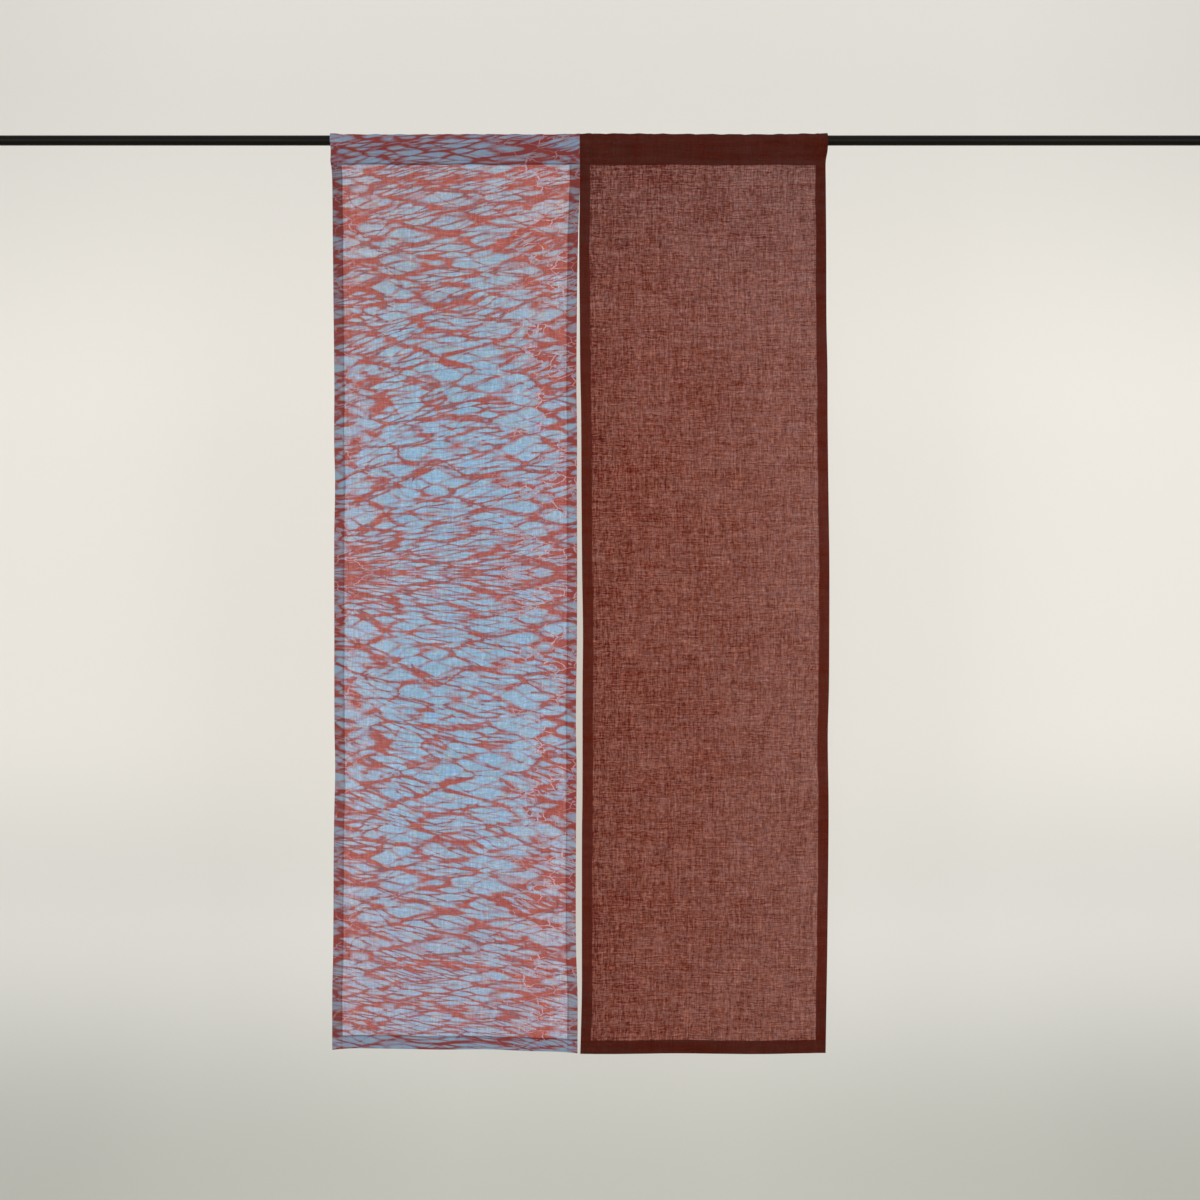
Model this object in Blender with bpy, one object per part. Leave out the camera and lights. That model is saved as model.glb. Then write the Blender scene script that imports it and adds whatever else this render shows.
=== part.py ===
"""Noren: two linen panels hanging side by side from a rod threaded through their headings.

World frame in metres: +X runs along the rod, +Y points away from the viewer, +Z is up.
The origin is the centre of the rod's left end face. Sizes below are in millimetres.
A "drop" is a distance below the rod's axis, so it is negative above the axis.
An "across" is a place on a panel's width, from 0 at its left edge to 1 at its right edge.
"""
import math
from collections import namedtuple

import bmesh
import bpy

MM = 0.001

# Rod
ROD_LENGTH = 2000.0
ROD_RADIUS = 8.0
ROD_CHAMFER = 0.8
ROD_SIDES = 48

# Cloth: one layer, and what a turned hem adds on the far side
CLOTH = 1.2
SIDE_HEM_ADDS = 0.8
LOWER_HEM_ADDS = 0.8
SIDE_HEM = 17.0
LOWER_HEM = 22.0
HEM_STEP = 0.8

# Heading: the pocket that the rod lies in
SEAT_GAP = 0.3
STITCH_DROP = 39.0
POCKET_END_DROP = 37.0
FLAP_STEP = 1.6

# Where the two panels meet, along the rod
SEAM_PLACE = 966.3
SEAM_GAP = 0.3

# How finely the cloth is divided
ARC_STEPS = 14
FALL_STEPS = 8
BODY_STEPS = 42
WIDTH_STEPS = 16

EdgeRow = namedtuple("EdgeRow", "drop left right")
LowerRow = namedtuple("LowerRow", "across rise")
SlackRow = namedtuple("SlackRow", "across lift")
FoldRow = namedtuple("FoldRow", "across depth reach start full")
Panel = namedtuple("Panel", "name left right length colour edges lower slack folds")
Column = namedtuple("Column", "zone amount")

# The patterned panel's side edges: how far each strays along +X from the heading's corners
PATTERNED_EDGES = (
    EdgeRow(drop=-10, left=0.0, right=0.0),
    EdgeRow(drop=16, left=2.0, right=0.0),
    EdgeRow(drop=34, left=1.0, right=0.0),
    EdgeRow(drop=44, left=2.6, right=0.0),
    EdgeRow(drop=67, left=3.9, right=0.0),
    EdgeRow(drop=150, left=4.7, right=-2.6),
    EdgeRow(drop=255, left=5.7, right=-4.5),
    EdgeRow(drop=400, left=7.1, right=-5.4),
    EdgeRow(drop=490, left=6.8, right=-4.4),
    EdgeRow(drop=560, left=8.2, right=-4.9),
    EdgeRow(drop=640, left=6.8, right=-4.4),
    EdgeRow(drop=800, left=6.9, right=-4.6),
    EdgeRow(drop=950, left=7.1, right=-6.3),
    EdgeRow(drop=1030, left=8.2, right=-5.2),
    EdgeRow(drop=1125, left=6.3, right=-6.2),
    EdgeRow(drop=1310, left=5.1, right=-6.2),
    EdgeRow(drop=1390, left=3.6, right=-3.7),
    EdgeRow(drop=1490, left=3.6, right=-3.9),
)

# The plain panel's side edges
PLAIN_EDGES = (
    EdgeRow(drop=-10, left=0.0, right=0.0),
    EdgeRow(drop=16, left=0.0, right=0.0),
    EdgeRow(drop=34, left=0.0, right=-2.6),
    EdgeRow(drop=67, left=0.0, right=-2.6),
    EdgeRow(drop=176, left=-1.0, right=-1.7),
    EdgeRow(drop=293, left=0.0, right=-1.2),
    EdgeRow(drop=371, left=0.7, right=0.5),
    EdgeRow(drop=450, left=2.2, right=0.8),
    EdgeRow(drop=580, left=2.8, right=2.4),
    EdgeRow(drop=700, left=3.8, right=3.8),
    EdgeRow(drop=802, left=5.2, right=3.6),
    EdgeRow(drop=893, left=4.5, right=3.1),
    EdgeRow(drop=971, left=4.5, right=1.2),
    EdgeRow(drop=1075, left=4.3, right=2.4),
    EdgeRow(drop=1125, left=3.6, right=2.4),
    EdgeRow(drop=1310, left=3.4, right=0.5),
    EdgeRow(drop=1390, left=3.3, right=-0.8),
    EdgeRow(drop=1490, left=0.8, right=-2.4),
)

# The lower edges: how far each rises above the panel's full length
PATTERNED_LOWER = (
    LowerRow(across=0.00, rise=6.0),
    LowerRow(across=0.10, rise=9.0),
    LowerRow(across=0.32, rise=8.6),
    LowerRow(across=0.45, rise=6.8),
    LowerRow(across=0.65, rise=6.8),
    LowerRow(across=0.77, rise=5.2),
    LowerRow(across=0.92, rise=4.0),
    LowerRow(across=1.00, rise=1.0),
)
PLAIN_LOWER = (
    LowerRow(across=0.00, rise=0.3),
    LowerRow(across=0.30, rise=0.0),
    LowerRow(across=0.70, rise=0.2),
    LowerRow(across=1.00, rise=0.4),
)

# How far the headings stand up off the rod
PATTERNED_SLACK = (
    SlackRow(across=0.00, lift=0.9),
    SlackRow(across=0.07, lift=0.2),
    SlackRow(across=0.35, lift=0.0),
    SlackRow(across=0.60, lift=0.4),
    SlackRow(across=0.85, lift=0.0),
    SlackRow(across=1.00, lift=0.8),
)
PLAIN_SLACK = (
    SlackRow(across=0.00, lift=0.3),
    SlackRow(across=0.15, lift=1.2),
    SlackRow(across=0.40, lift=0.3),
    SlackRow(across=0.75, lift=0.0),
    SlackRow(across=0.92, lift=0.9),
    SlackRow(across=1.00, lift=0.4),
)

# Soft upright swells of the hanging cloth: depth is along +Y, reach is the half width
PATTERNED_FOLDS = (
    FoldRow(across=0.03, depth=3.5, reach=60, start=60, full=700),
    FoldRow(across=0.27, depth=-4.0, reach=85, start=60, full=520),
    FoldRow(across=0.58, depth=3.5, reach=75, start=80, full=900),
    FoldRow(across=0.86, depth=-3.0, reach=70, start=60, full=640),
)
PLAIN_FOLDS = (
    FoldRow(across=0.12, depth=-3.5, reach=70, start=60, full=600),
    FoldRow(across=0.40, depth=4.0, reach=90, start=80, full=760),
    FoldRow(across=0.70, depth=-3.0, reach=80, start=60, full=900),
    FoldRow(across=0.98, depth=4.5, reach=60, start=60, full=560),
)

PATTERNED = Panel(
    name="panel_patterned",
    left=559.4,
    right=SEAM_PLACE - SEAM_GAP / 2,
    length=1487.5,
    colour=(0.33, 0.22, 0.30),
    edges=PATTERNED_EDGES,
    lower=PATTERNED_LOWER,
    slack=PATTERNED_SLACK,
    folds=PATTERNED_FOLDS,
)
PLAIN = Panel(
    name="panel_plain",
    left=SEAM_PLACE + SEAM_GAP / 2,
    right=1371.3,
    length=1487.5,
    colour=(0.19, 0.067, 0.048),
    edges=PLAIN_EDGES,
    lower=PLAIN_LOWER,
    slack=PLAIN_SLACK,
    folds=PLAIN_FOLDS,
)


def clear_scene():
    """Remove every object that the file opened with."""
    for thing in list(bpy.data.objects):
        bpy.data.objects.remove(thing, do_unlink=True)


def make_material(name, colour, roughness, metallic=0.0):
    """Plain Principled material."""
    material = bpy.data.materials.new(name)
    material.use_nodes = True
    shader = material.node_tree.nodes["Principled BSDF"]
    shader.inputs["Base Color"].default_value = (*colour, 1.0)
    shader.inputs["Roughness"].default_value = roughness
    shader.inputs["Metallic"].default_value = metallic
    return material


def finish_object(name, bm, material, smooth_degrees):
    """Turn a bmesh into a named object of the scene."""
    bmesh.ops.recalc_face_normals(bm, faces=bm.faces)
    mesh = bpy.data.meshes.new(name)
    bm.to_mesh(mesh)
    bm.free()
    mesh.shade_smooth()
    mesh.set_sharp_from_angle(angle=math.radians(smooth_degrees))
    mesh.materials.append(material)
    thing = bpy.data.objects.new(name, mesh)
    bpy.context.scene.collection.objects.link(thing)
    return thing


def smoothstep(low, high, value):
    """0 below low, 1 above high, and an S curve between them."""
    share = min(max((value - low) / (high - low), 0.0), 1.0)
    return share * share * (3.0 - 2.0 * share)


def read_table(rows, key, column, place):
    """Smooth curve through one column of a table, level beyond its first and last rows."""
    places = [getattr(row, key) for row in rows]
    values = [getattr(row, column) for row in rows]
    last = len(rows) - 1
    place = min(max(place, places[0]), places[last])
    step = next(i for i in range(last) if place <= places[i + 1])
    span = places[step + 1] - places[step]

    def slope(i):
        before, after = max(i - 1, 0), min(i + 1, last)
        return (values[after] - values[before]) / (places[after] - places[before])

    t = (place - places[step]) / span
    from_start = (1 + 2 * t) * (1 - t) ** 2 * values[step] + t * (1 - t) ** 2 * span * slope(step)
    from_end = t * t * (3 - 2 * t) * values[step + 1] - t * t * (1 - t) * span * slope(step + 1)
    return from_start + from_end


def panel_columns():
    """Columns across a panel.

    In a hem, a column's amount is its distance from that edge. Between the hems it is a
    share of the width there.
    """
    hem_line = SIDE_HEM - HEM_STEP
    left_hem = [Column("left hem", 0.0), Column("left hem", hem_line)]
    between = [Column("between", i / WIDTH_STEPS) for i in range(WIDTH_STEPS + 1)]
    right_hem = [Column("right hem", hem_line), Column("right hem", 0.0)]
    return left_hem + between + right_hem


def place_along_rod(panel, column, drop):
    """X of a column of the cloth at a drop, and its across value."""
    left = panel.left + read_table(panel.edges, "drop", "left", drop)
    right = panel.right + read_table(panel.edges, "drop", "right", drop)
    if column.zone == "left hem":
        place = left + column.amount
    elif column.zone == "right hem":
        place = right - column.amount
    else:
        place = left + SIDE_HEM + column.amount * (right - left - 2 * SIDE_HEM)
    return place, (place - left) / (right - left)


def side_hem_adds(column):
    """Thickness that a side hem adds at a column."""
    return 0.0 if column.zone == "between" else SIDE_HEM_ADDS


def fold_depth(panel, across, drop):
    """Y that the soft swells give the cloth."""
    width = panel.right - panel.left
    depth = 0.0
    for fold in panel.folds:
        away = (across - fold.across) * width / fold.reach
        depth += fold.depth * math.exp(-away * away) * smoothstep(fold.start, fold.full, drop)
    return depth


def pocket_sections(panel, column):
    """Outer and inner points of the heading, from its back stitch line over the rod to its front.

    The inner list lacks its last point, because the pocket closes where it began.
    """
    hem_adds = side_hem_adds(column)
    across = place_along_rod(panel, column, 0.0)[1]
    lift = read_table(panel.slack, "across", "lift", across)
    inside = ROD_RADIUS + SEAT_GAP
    outer, inner = [], []

    def add(side, share_down, angle):
        """One station: on a fall if share_down is a number, else on the arc over the rod."""
        if share_down is None:
            thick = inside + CLOTH + hem_adds
            outer.append((-thick * math.cos(angle), (thick + lift) * math.sin(angle)))
            inner.append((-inside * math.cos(angle), (inside + lift) * math.sin(angle)))
            return
        half = inside * (1.0 - smoothstep(0.0, 1.0, share_down))
        layer = CLOTH + hem_adds * ((1.0 - share_down) if side < 0 else 1.0)
        outer.append((side * (half + layer), -share_down * STITCH_DROP))
        inner.append((side * half, -share_down * POCKET_END_DROP))

    for i in range(FALL_STEPS):
        add(1, 1.0 - i / FALL_STEPS, None)
    for i in range(ARC_STEPS + 1):
        add(0, None, math.pi * (1.0 - i / ARC_STEPS))
    for i in range(FALL_STEPS):
        add(-1, (i + 1) / FALL_STEPS, None)

    def to_world(point):
        y, z = point
        return place_along_rod(panel, column, -z)[0] * MM, y * MM, z * MM

    return [to_world(point) for point in outer], [to_world(point) for point in inner[:-1]]


def body_drops(panel, column):
    """Drops of the rows below the heading, and which of them lie in the lower hem."""
    across = place_along_rod(panel, column, panel.length)[1]
    bottom = panel.length - read_table(panel.lower, "across", "rise", across)
    top = STITCH_DROP + FLAP_STEP
    hem_top = bottom - LOWER_HEM
    rows = [(top + (hem_top - HEM_STEP - top) * i / BODY_STEPS, False) for i in range(BODY_STEPS + 1)]
    rows += [(hem_top + HEM_STEP, True), (bottom - LOWER_HEM / 2, True), (bottom, True)]
    return rows


def body_section(panel, column):
    """Front points of the hanging cloth from the heading down, then its back points upwards."""
    hem_adds = side_hem_adds(column)
    front, back = [], []
    for drop, in_lower_hem in body_drops(panel, column):
        place, across = place_along_rod(panel, column, drop)
        depth = fold_depth(panel, across, drop)
        far = depth + hem_adds + (LOWER_HEM_ADDS if in_lower_hem else 0.0)
        front.append((place * MM, (depth - CLOTH) * MM, -drop * MM))
        back.append((place * MM, far * MM, -drop * MM))
    return front + back[::-1]


def bridge(bm, ring, next_ring):
    """Quads between two closed rings of the same length."""
    for i in range(len(ring)):
        j = (i + 1) % len(ring)
        bm.faces.new((ring[i], ring[j], next_ring[j], next_ring[i]))


def close_side(bm, outer, inner, pocket_count):
    """Faces of one side edge of a panel, around the pocket's mouth and down the cloth."""
    for i in range(pocket_count - 1):
        j = (i + 1) % len(inner)
        bm.faces.new((outer[i], outer[i + 1], inner[j], inner[i]))
    bm.faces.new((outer[0], inner[0], outer[pocket_count - 1]))
    front = outer[pocket_count - 1:]
    rows = (len(outer) - pocket_count) // 2
    back = [outer[0]] + outer[:pocket_count + rows - 1:-1]
    for i in range(rows):
        bm.faces.new((front[i], front[i + 1], back[i + 1], back[i]))


def make_panel(panel):
    """One panel of cloth: a pocket around the rod and the sheet that hangs from it."""
    bm = bmesh.new()
    outer_rings, inner_rings = [], []
    for column in panel_columns():
        pocket_outer, pocket_inner = pocket_sections(panel, column)
        outer = pocket_outer + body_section(panel, column)
        outer_rings.append([bm.verts.new(point) for point in outer])
        inner_rings.append([bm.verts.new(point) for point in pocket_inner])
    for i in range(len(outer_rings) - 1):
        bridge(bm, outer_rings[i], outer_rings[i + 1])
        bridge(bm, inner_rings[i], inner_rings[i + 1])
    pocket_count = len(inner_rings[0]) + 1
    close_side(bm, outer_rings[0], inner_rings[0], pocket_count)
    close_side(bm, outer_rings[-1], inner_rings[-1], pocket_count)
    material = make_material(panel.name, panel.colour, roughness=0.9)
    return finish_object(panel.name, bm, material, smooth_degrees=50)


def make_rod():
    """The plain rod, laid along +X from the origin, with its end rims chamfered."""
    bm = bmesh.new()
    made = bmesh.ops.create_cone(
        bm,
        cap_ends=True,
        segments=ROD_SIDES,
        radius1=ROD_RADIUS * MM,
        radius2=ROD_RADIUS * MM,
        depth=ROD_LENGTH * MM,
    )
    rims = [edge for edge in bm.edges if abs(edge.verts[0].co.z - edge.verts[1].co.z) < MM]
    bmesh.ops.bevel(bm, geom=rims, offset=ROD_CHAMFER * MM, segments=1, affect="EDGES")
    for vert in bm.verts:
        x, y, z = vert.co
        vert.co = (z + ROD_LENGTH * MM / 2, y, -x)
    material = make_material("rod", (0.012, 0.012, 0.011), roughness=0.35, metallic=0.6)
    return finish_object("rod", bm, material, smooth_degrees=35)


def main():
    """Build the rod and the two panels on it."""
    clear_scene()
    make_rod()
    make_panel(PATTERNED)
    make_panel(PLAIN)


main()
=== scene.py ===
"""Two-panel noren of linen on a black rod, dressed for a studio picture.

The frame is in metres: +X runs along the rod, +Y points away from the viewer and +Z is up. The
origin is the centre of the rod's left end face. Sizes in fields and tables are in millimetres. A
"drop" is a distance below the rod's axis. An "across" is a place on a panel's width, from 0 at
its left edge to 1 at its right edge. An "inset" is a distance in from the nearer side edge.
"""

import logging
import math
from collections.abc import Callable, Iterator, Sequence
from dataclasses import dataclass
from enum import Enum
from typing import NamedTuple

import bmesh
import bpy
import numpy as np
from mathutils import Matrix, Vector

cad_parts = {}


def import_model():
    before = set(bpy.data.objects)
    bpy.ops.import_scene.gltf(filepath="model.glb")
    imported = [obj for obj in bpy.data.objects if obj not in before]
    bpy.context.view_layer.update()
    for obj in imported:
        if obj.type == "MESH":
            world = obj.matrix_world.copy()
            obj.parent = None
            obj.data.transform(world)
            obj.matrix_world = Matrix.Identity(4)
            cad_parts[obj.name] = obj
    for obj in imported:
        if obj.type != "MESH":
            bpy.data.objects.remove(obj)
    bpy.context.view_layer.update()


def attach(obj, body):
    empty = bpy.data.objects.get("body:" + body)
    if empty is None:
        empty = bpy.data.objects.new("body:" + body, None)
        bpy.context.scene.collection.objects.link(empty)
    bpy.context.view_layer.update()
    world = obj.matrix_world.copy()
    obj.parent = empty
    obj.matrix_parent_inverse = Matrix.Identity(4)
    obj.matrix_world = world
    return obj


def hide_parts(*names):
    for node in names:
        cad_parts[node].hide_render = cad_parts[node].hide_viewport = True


MM = 0.001
LOG = logging.getLogger("noren")
Colour = tuple[float, float, float]
Pair = tuple[float, float]

# What the cloth meshes carry
CLOTH_MAP, PLIES, SEAM = "cloth", "plies", "seam"
# Values of the plies: the side hems, and the heading and lower hem, which read a little thicker and lose
# a little more of the painted light that shines through one ply
SIDE_PLIES, HEADING_PLIES = 2.0, 2.25


# ---- Small helpers ----


def screen_colour(red: float, green: float, blue: float) -> Colour:
    """Turn a colour given in screen values from 0 to 255 into linear light.

    Args:
        red: Its red.
        green: Its green.
        blue: Its blue.

    Returns:
        The three linear values from 0 to 1.
    """
    shares = (value / 255.0 for value in (red, green, blue))
    return tuple(s / 12.92 if s <= 0.04045 else ((s + 0.055) / 1.055) ** 2.4 for s in shares)


def smoothstep(low: float, high: float, value: float) -> float:
    """Follow an S curve from 0 at low to 1 at high.

    Args:
        low: Where the curve leaves 0.
        high: Where the curve reaches 1.
        value: The place that is asked for.

    Returns:
        The height of the curve there.
    """
    share = min(max((value - low) / (high - low), 0.0), 1.0)
    return share * share * (3.0 - 2.0 * share)


def bell(away: float, reach: float) -> float:
    """Height of a bell of height 1, at a distance from its middle."""
    return math.exp(-((away / reach) ** 2))


def read_table(rows: Sequence[NamedTuple], column: str, place: float) -> float:
    """Read one column of a table as a smooth curve, level beyond its first and last rows.

    Args:
        rows: The table, in rising order of its first field, the place.
        column: The field that holds the values.
        place: The place that is asked for.

    Returns:
        The value of the curve there.
    """
    places = [row[0] for row in rows]
    values = [getattr(row, column) for row in rows]
    last = len(rows) - 1
    place = min(max(place, places[0]), places[last])
    step = next(i for i in range(last) if place <= places[i + 1])
    span = places[step + 1] - places[step]

    def slope(i: int) -> float:
        """Slope of the curve at a row."""
        before, after = max(i - 1, 0), min(i + 1, last)
        return (values[after] - values[before]) / (places[after] - places[before])

    t = (place - places[step]) / span
    from_start = (1 + 2 * t) * (1 - t) ** 2 * values[step] + t * (1 - t) ** 2 * span * slope(step)
    from_end = t * t * (3 - 2 * t) * values[step + 1] - t * t * (1 - t) * span * slope(step + 1)
    return from_start + from_end


def deselect_all() -> None:
    """Leave edit mode and select nothing."""
    if bpy.context.object is not None and bpy.context.object.mode != "OBJECT":
        bpy.ops.object.mode_set(mode="OBJECT")
    bpy.ops.object.select_all(action="DESELECT")


def select_only(thing: bpy.types.Object) -> None:
    """Make one object the only selected and active one.

    Args:
        thing: The object.
    """
    deselect_all()
    thing.select_set(True)
    bpy.context.view_layer.objects.active = thing


def settle(thing: bpy.types.Object, name: str) -> None:
    """Name an object and apply its place, turn and scale to its mesh.

    Args:
        thing: The object.
        name: Its name and its mesh's.
    """
    thing.name = thing.data.name = name
    select_only(thing)
    bpy.ops.object.transform_apply(location=True, rotation=True, scale=True)


def add_piece(mesh: bpy.types.Mesh, material: bpy.types.Material) -> bpy.types.Object:
    """Make a mesh an object of the same name with a material, selected on its own.

    Args:
        mesh: The mesh.
        material: Its material.

    Returns:
        The object.
    """
    piece = bpy.data.objects.new(mesh.name, mesh)
    bpy.context.scene.collection.objects.link(piece)
    mesh.materials.append(material)
    select_only(piece)
    return piece


def pick_edges(mesh: bpy.types.Mesh, wanted: Callable[[Vector, Vector], bool]) -> None:
    """Select the edges of an open edit mesh whose two ends pass a test, and nothing else.

    Args:
        mesh: The mesh in edit mode.
        wanted: Says from an edge's two end points whether it is picked.
    """
    bm = bmesh.from_edit_mesh(mesh)
    for part in (*bm.verts, *bm.edges, *bm.faces):
        part.select = False
    bm.select_mode = {"EDGE"}
    for edge in bm.edges:
        edge.select_set(wanted(edge.verts[0].co, edge.verts[1].co))
    bmesh.update_edit_mesh(mesh)


# ---- Node trees ----


@dataclass(frozen=True, eq=False)
class Value:
    """A number that a node gives out. Arithmetic on it adds math nodes.

    Attributes:
        w: The wiring of its tree.
        socket: The output that carries it.
    """

    w: "Wiring"
    socket: bpy.types.NodeSocket
    kind = "ShaderNodeMath"

    def work(self, operation: str, *others: "Feed") -> "Value":
        """Result of a math node on this value and others."""
        return type(self)(self.w, self.w.add(self.kind, self, *others, operation=operation).outputs[0])

    def __add__(self, other: "Feed") -> "Value":
        """Sum."""
        return self.work("ADD", other)

    def __sub__(self, other: "Feed") -> "Value":
        """Difference."""
        return self.work("SUBTRACT", other)

    def __rsub__(self, other: "Feed") -> "Value":
        """Difference, the other way round."""
        return self.line(-1.0, other)

    def __mul__(self, other: "Feed") -> "Value":
        """Product."""
        return self.work("MULTIPLY", other)

    def __truediv__(self, other: "Feed") -> "Value":
        """Quotient."""
        return self.work("DIVIDE", other)

    def __abs__(self) -> "Value":
        """Size without its sign."""
        return self.work("ABSOLUTE")

    def line(self, slope: "Feed", start: "Feed") -> "Value":
        """This value times a slope, plus a start."""
        return self.work("MULTIPLY_ADD", slope, start)

    def ramp(
        self, low: "Feed", high: "Feed", start: "Feed" = 0.0, end: "Feed" = 1.0, soft: bool = False
    ) -> "Value":
        """Map the value from one range to another, held at both ends.

        Args:
            low: Where the first range starts.
            high: Where the first range ends.
            start: The result at low.
            end: The result at high.
            soft: Whether the way between is an S curve.

        Returns:
            The mapped value.
        """
        way = "SMOOTHSTEP" if soft else "LINEAR"
        node = self.w.add("ShaderNodeMapRange", self, low, high, start, end, interpolation_type=way)
        return self.w.read(node)


class Triple(Value):
    """Three numbers that a node gives out: a colour, a place or a push."""

    kind = "ShaderNodeVectorMath"

    def parts(self) -> tuple[Value, Value, Value]:
        """The three numbers one by one."""
        node = self.w.add("ShaderNodeSeparateXYZ", self)
        return tuple(Value(self.w, output) for output in node.outputs)


Feed = float | tuple[float, ...] | Value


@dataclass
class Wiring:
    """Adds nodes to one node tree and joins them.

    Attributes:
        tree: The material's or group's node tree.
    """

    tree: bpy.types.NodeTree

    def add(self, kind: str, *values: Feed, **settings: object) -> bpy.types.Node:
        """Add a node.

        Args:
            kind: The node's type.
            *values: Values of its inputs, in their order.
            **settings: What dress() sets on it.

        Returns:
            The new node.
        """
        node = self.tree.nodes.new(kind)
        self.dress(node, **settings)
        for socket, value in zip(node.inputs, values):
            self.feed(socket, value)
        return node

    def dress(self, node: bpy.types.Node, **settings: object) -> None:
        """Set a node's options, named in lower case, and its inputs, named in capitals.

        Args:
            node: The node.
            **settings: The options and the inputs by name, with spaces as underscores.
        """
        for name, value in settings.items():
            if name.islower():
                setattr(node, name, value)
            else:
                self.feed(node.inputs[name.replace("_", " ")], value)

    def feed(self, socket: bpy.types.NodeSocket, value: Feed) -> None:
        """Set an input to a constant, or link a value to it.

        Args:
            socket: The input.
            value: The constant or the value.
        """
        if isinstance(value, Value):
            self.tree.links.new(value.socket, socket)
        elif socket.type == "RGBA":
            socket.default_value = (*value, 1.0)
        elif socket.type == "VECTOR" and isinstance(value, float):
            socket.default_value = (value, value, value)
        else:
            socket.default_value = value

    def read(self, node: bpy.types.Node, output: str | int = 0) -> Value:
        """Value of a node's output."""
        socket = node.outputs[output]
        return (Value if socket.type == "VALUE" else Triple)(self, socket)

    def make(self, kind: str, output: str, **settings: object) -> Value:
        """Value of one output of a new node."""
        return self.read(self.add(kind, **settings), output)

    def vector(self, x: Feed, y: Feed, z: Feed = 0.0) -> Triple:
        """Three numbers put together."""
        return self.read(self.add("ShaderNodeCombineXYZ", x, y, z))

    def blend(self, share: Feed, first: Feed, second: Feed) -> Triple:
        """Blend two colours.

        Args:
            share: How much of the second one is taken.
            first: The first colour.
            second: The second colour.

        Returns:
            The blended colour.
        """
        node = self.add("ShaderNodeMix", data_type="RGBA", Factor=share)
        for socket, colour in zip((node.inputs[6], node.inputs[7]), (first, second)):
            self.feed(socket, colour)
        return self.read(node, 2)

    def brighten(self, colour: Feed, amount: Feed) -> Triple:
        """Colour times a number."""
        return self.read(self.add("ShaderNodeVectorMath", colour, amount, operation="MULTIPLY"))


def open_group(
    name: str, inputs: Sequence[str], outputs: Sequence[str]
) -> tuple[Wiring, list[Value], bpy.types.Node]:
    """Start a shader node group of plain numbers.

    Args:
        name: The group's name.
        inputs: Names of its inputs.
        outputs: Names of its outputs.

    Returns:
        The wiring of its tree, its inputs' values and its output node.
    """
    tree = bpy.data.node_groups.new(name, "ShaderNodeTree")
    for way, titles in (("INPUT", inputs), ("OUTPUT", outputs)):
        for title in titles:
            tree.interface.new_socket(title, in_out=way, socket_type="NodeSocketFloat")
    w = Wiring(tree)
    given = w.add("NodeGroupInput")
    return w, [w.read(given, title) for title in inputs], w.add("NodeGroupOutput")


class NetPart(Enum):
    """What is read from an uneven net: the feature of the node and its output."""

    LINE = ("DISTANCE_TO_EDGE", "Distance")
    LOTS = ("F1", "Color")


@dataclass(frozen=True, eq=False)
class Spot:
    """A place on the flat cloth, in metres, or on a net, in meshes.

    Attributes:
        x: Place across.
        y: Place along.
    """

    x: Value
    y: Value

    def scaled(self, size: Pair) -> "Spot":
        """The place in units of a size across and along, which is in millimetres."""
        return Spot(self.x * (1.0 / (size[0] * MM)), self.y * (1.0 / (size[1] * MM)))

    def noise(self, cell: Pair, seed: float, octaves: float = 1.0, output: str = "Fac") -> Value:
        """Read smooth noise, stretched along the cloth's two ways.

        Args:
            cell: The noise's own size across and along, in millimetres.
            seed: Picks one noise out of many.
            octaves: How many finer layers it has.
            output: The output that is read.

        Returns:
            The noise.
        """
        w, unit = self.x.w, self.scaled(cell)
        place = w.vector(unit.x, unit.y, seed)
        node = w.add("ShaderNodeTexNoise", Vector=place, Scale=1.0, Detail=octaves, Roughness=0.55)
        return w.read(node, output)

    def push(self, cell: Pair, seed: float, reach: Colour) -> Triple:
        """Noise as a push either way, of up to half the reach."""
        return (self.noise(cell, seed, output="Color") - 0.5) * reach

    def net(self, part: NetPart, uneven: float) -> Value:
        """Look a place in meshes up in an uneven net.

        Args:
            part: What is read: the distance to the nearest line, or three lots drawn for the mesh.
            uneven: How uneven the net is, from 0 to 1.

        Returns:
            The distance in meshes, or the lots from 0 to 1.
        """
        w, (feature, output) = self.x.w, part.value
        node = w.add("ShaderNodeTexVoronoi", feature=feature, voronoi_dimensions="2D")
        w.dress(node, Vector=w.vector(self.x, self.y), Scale=1.0, Randomness=uneven)
        return w.read(node, output)


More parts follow.
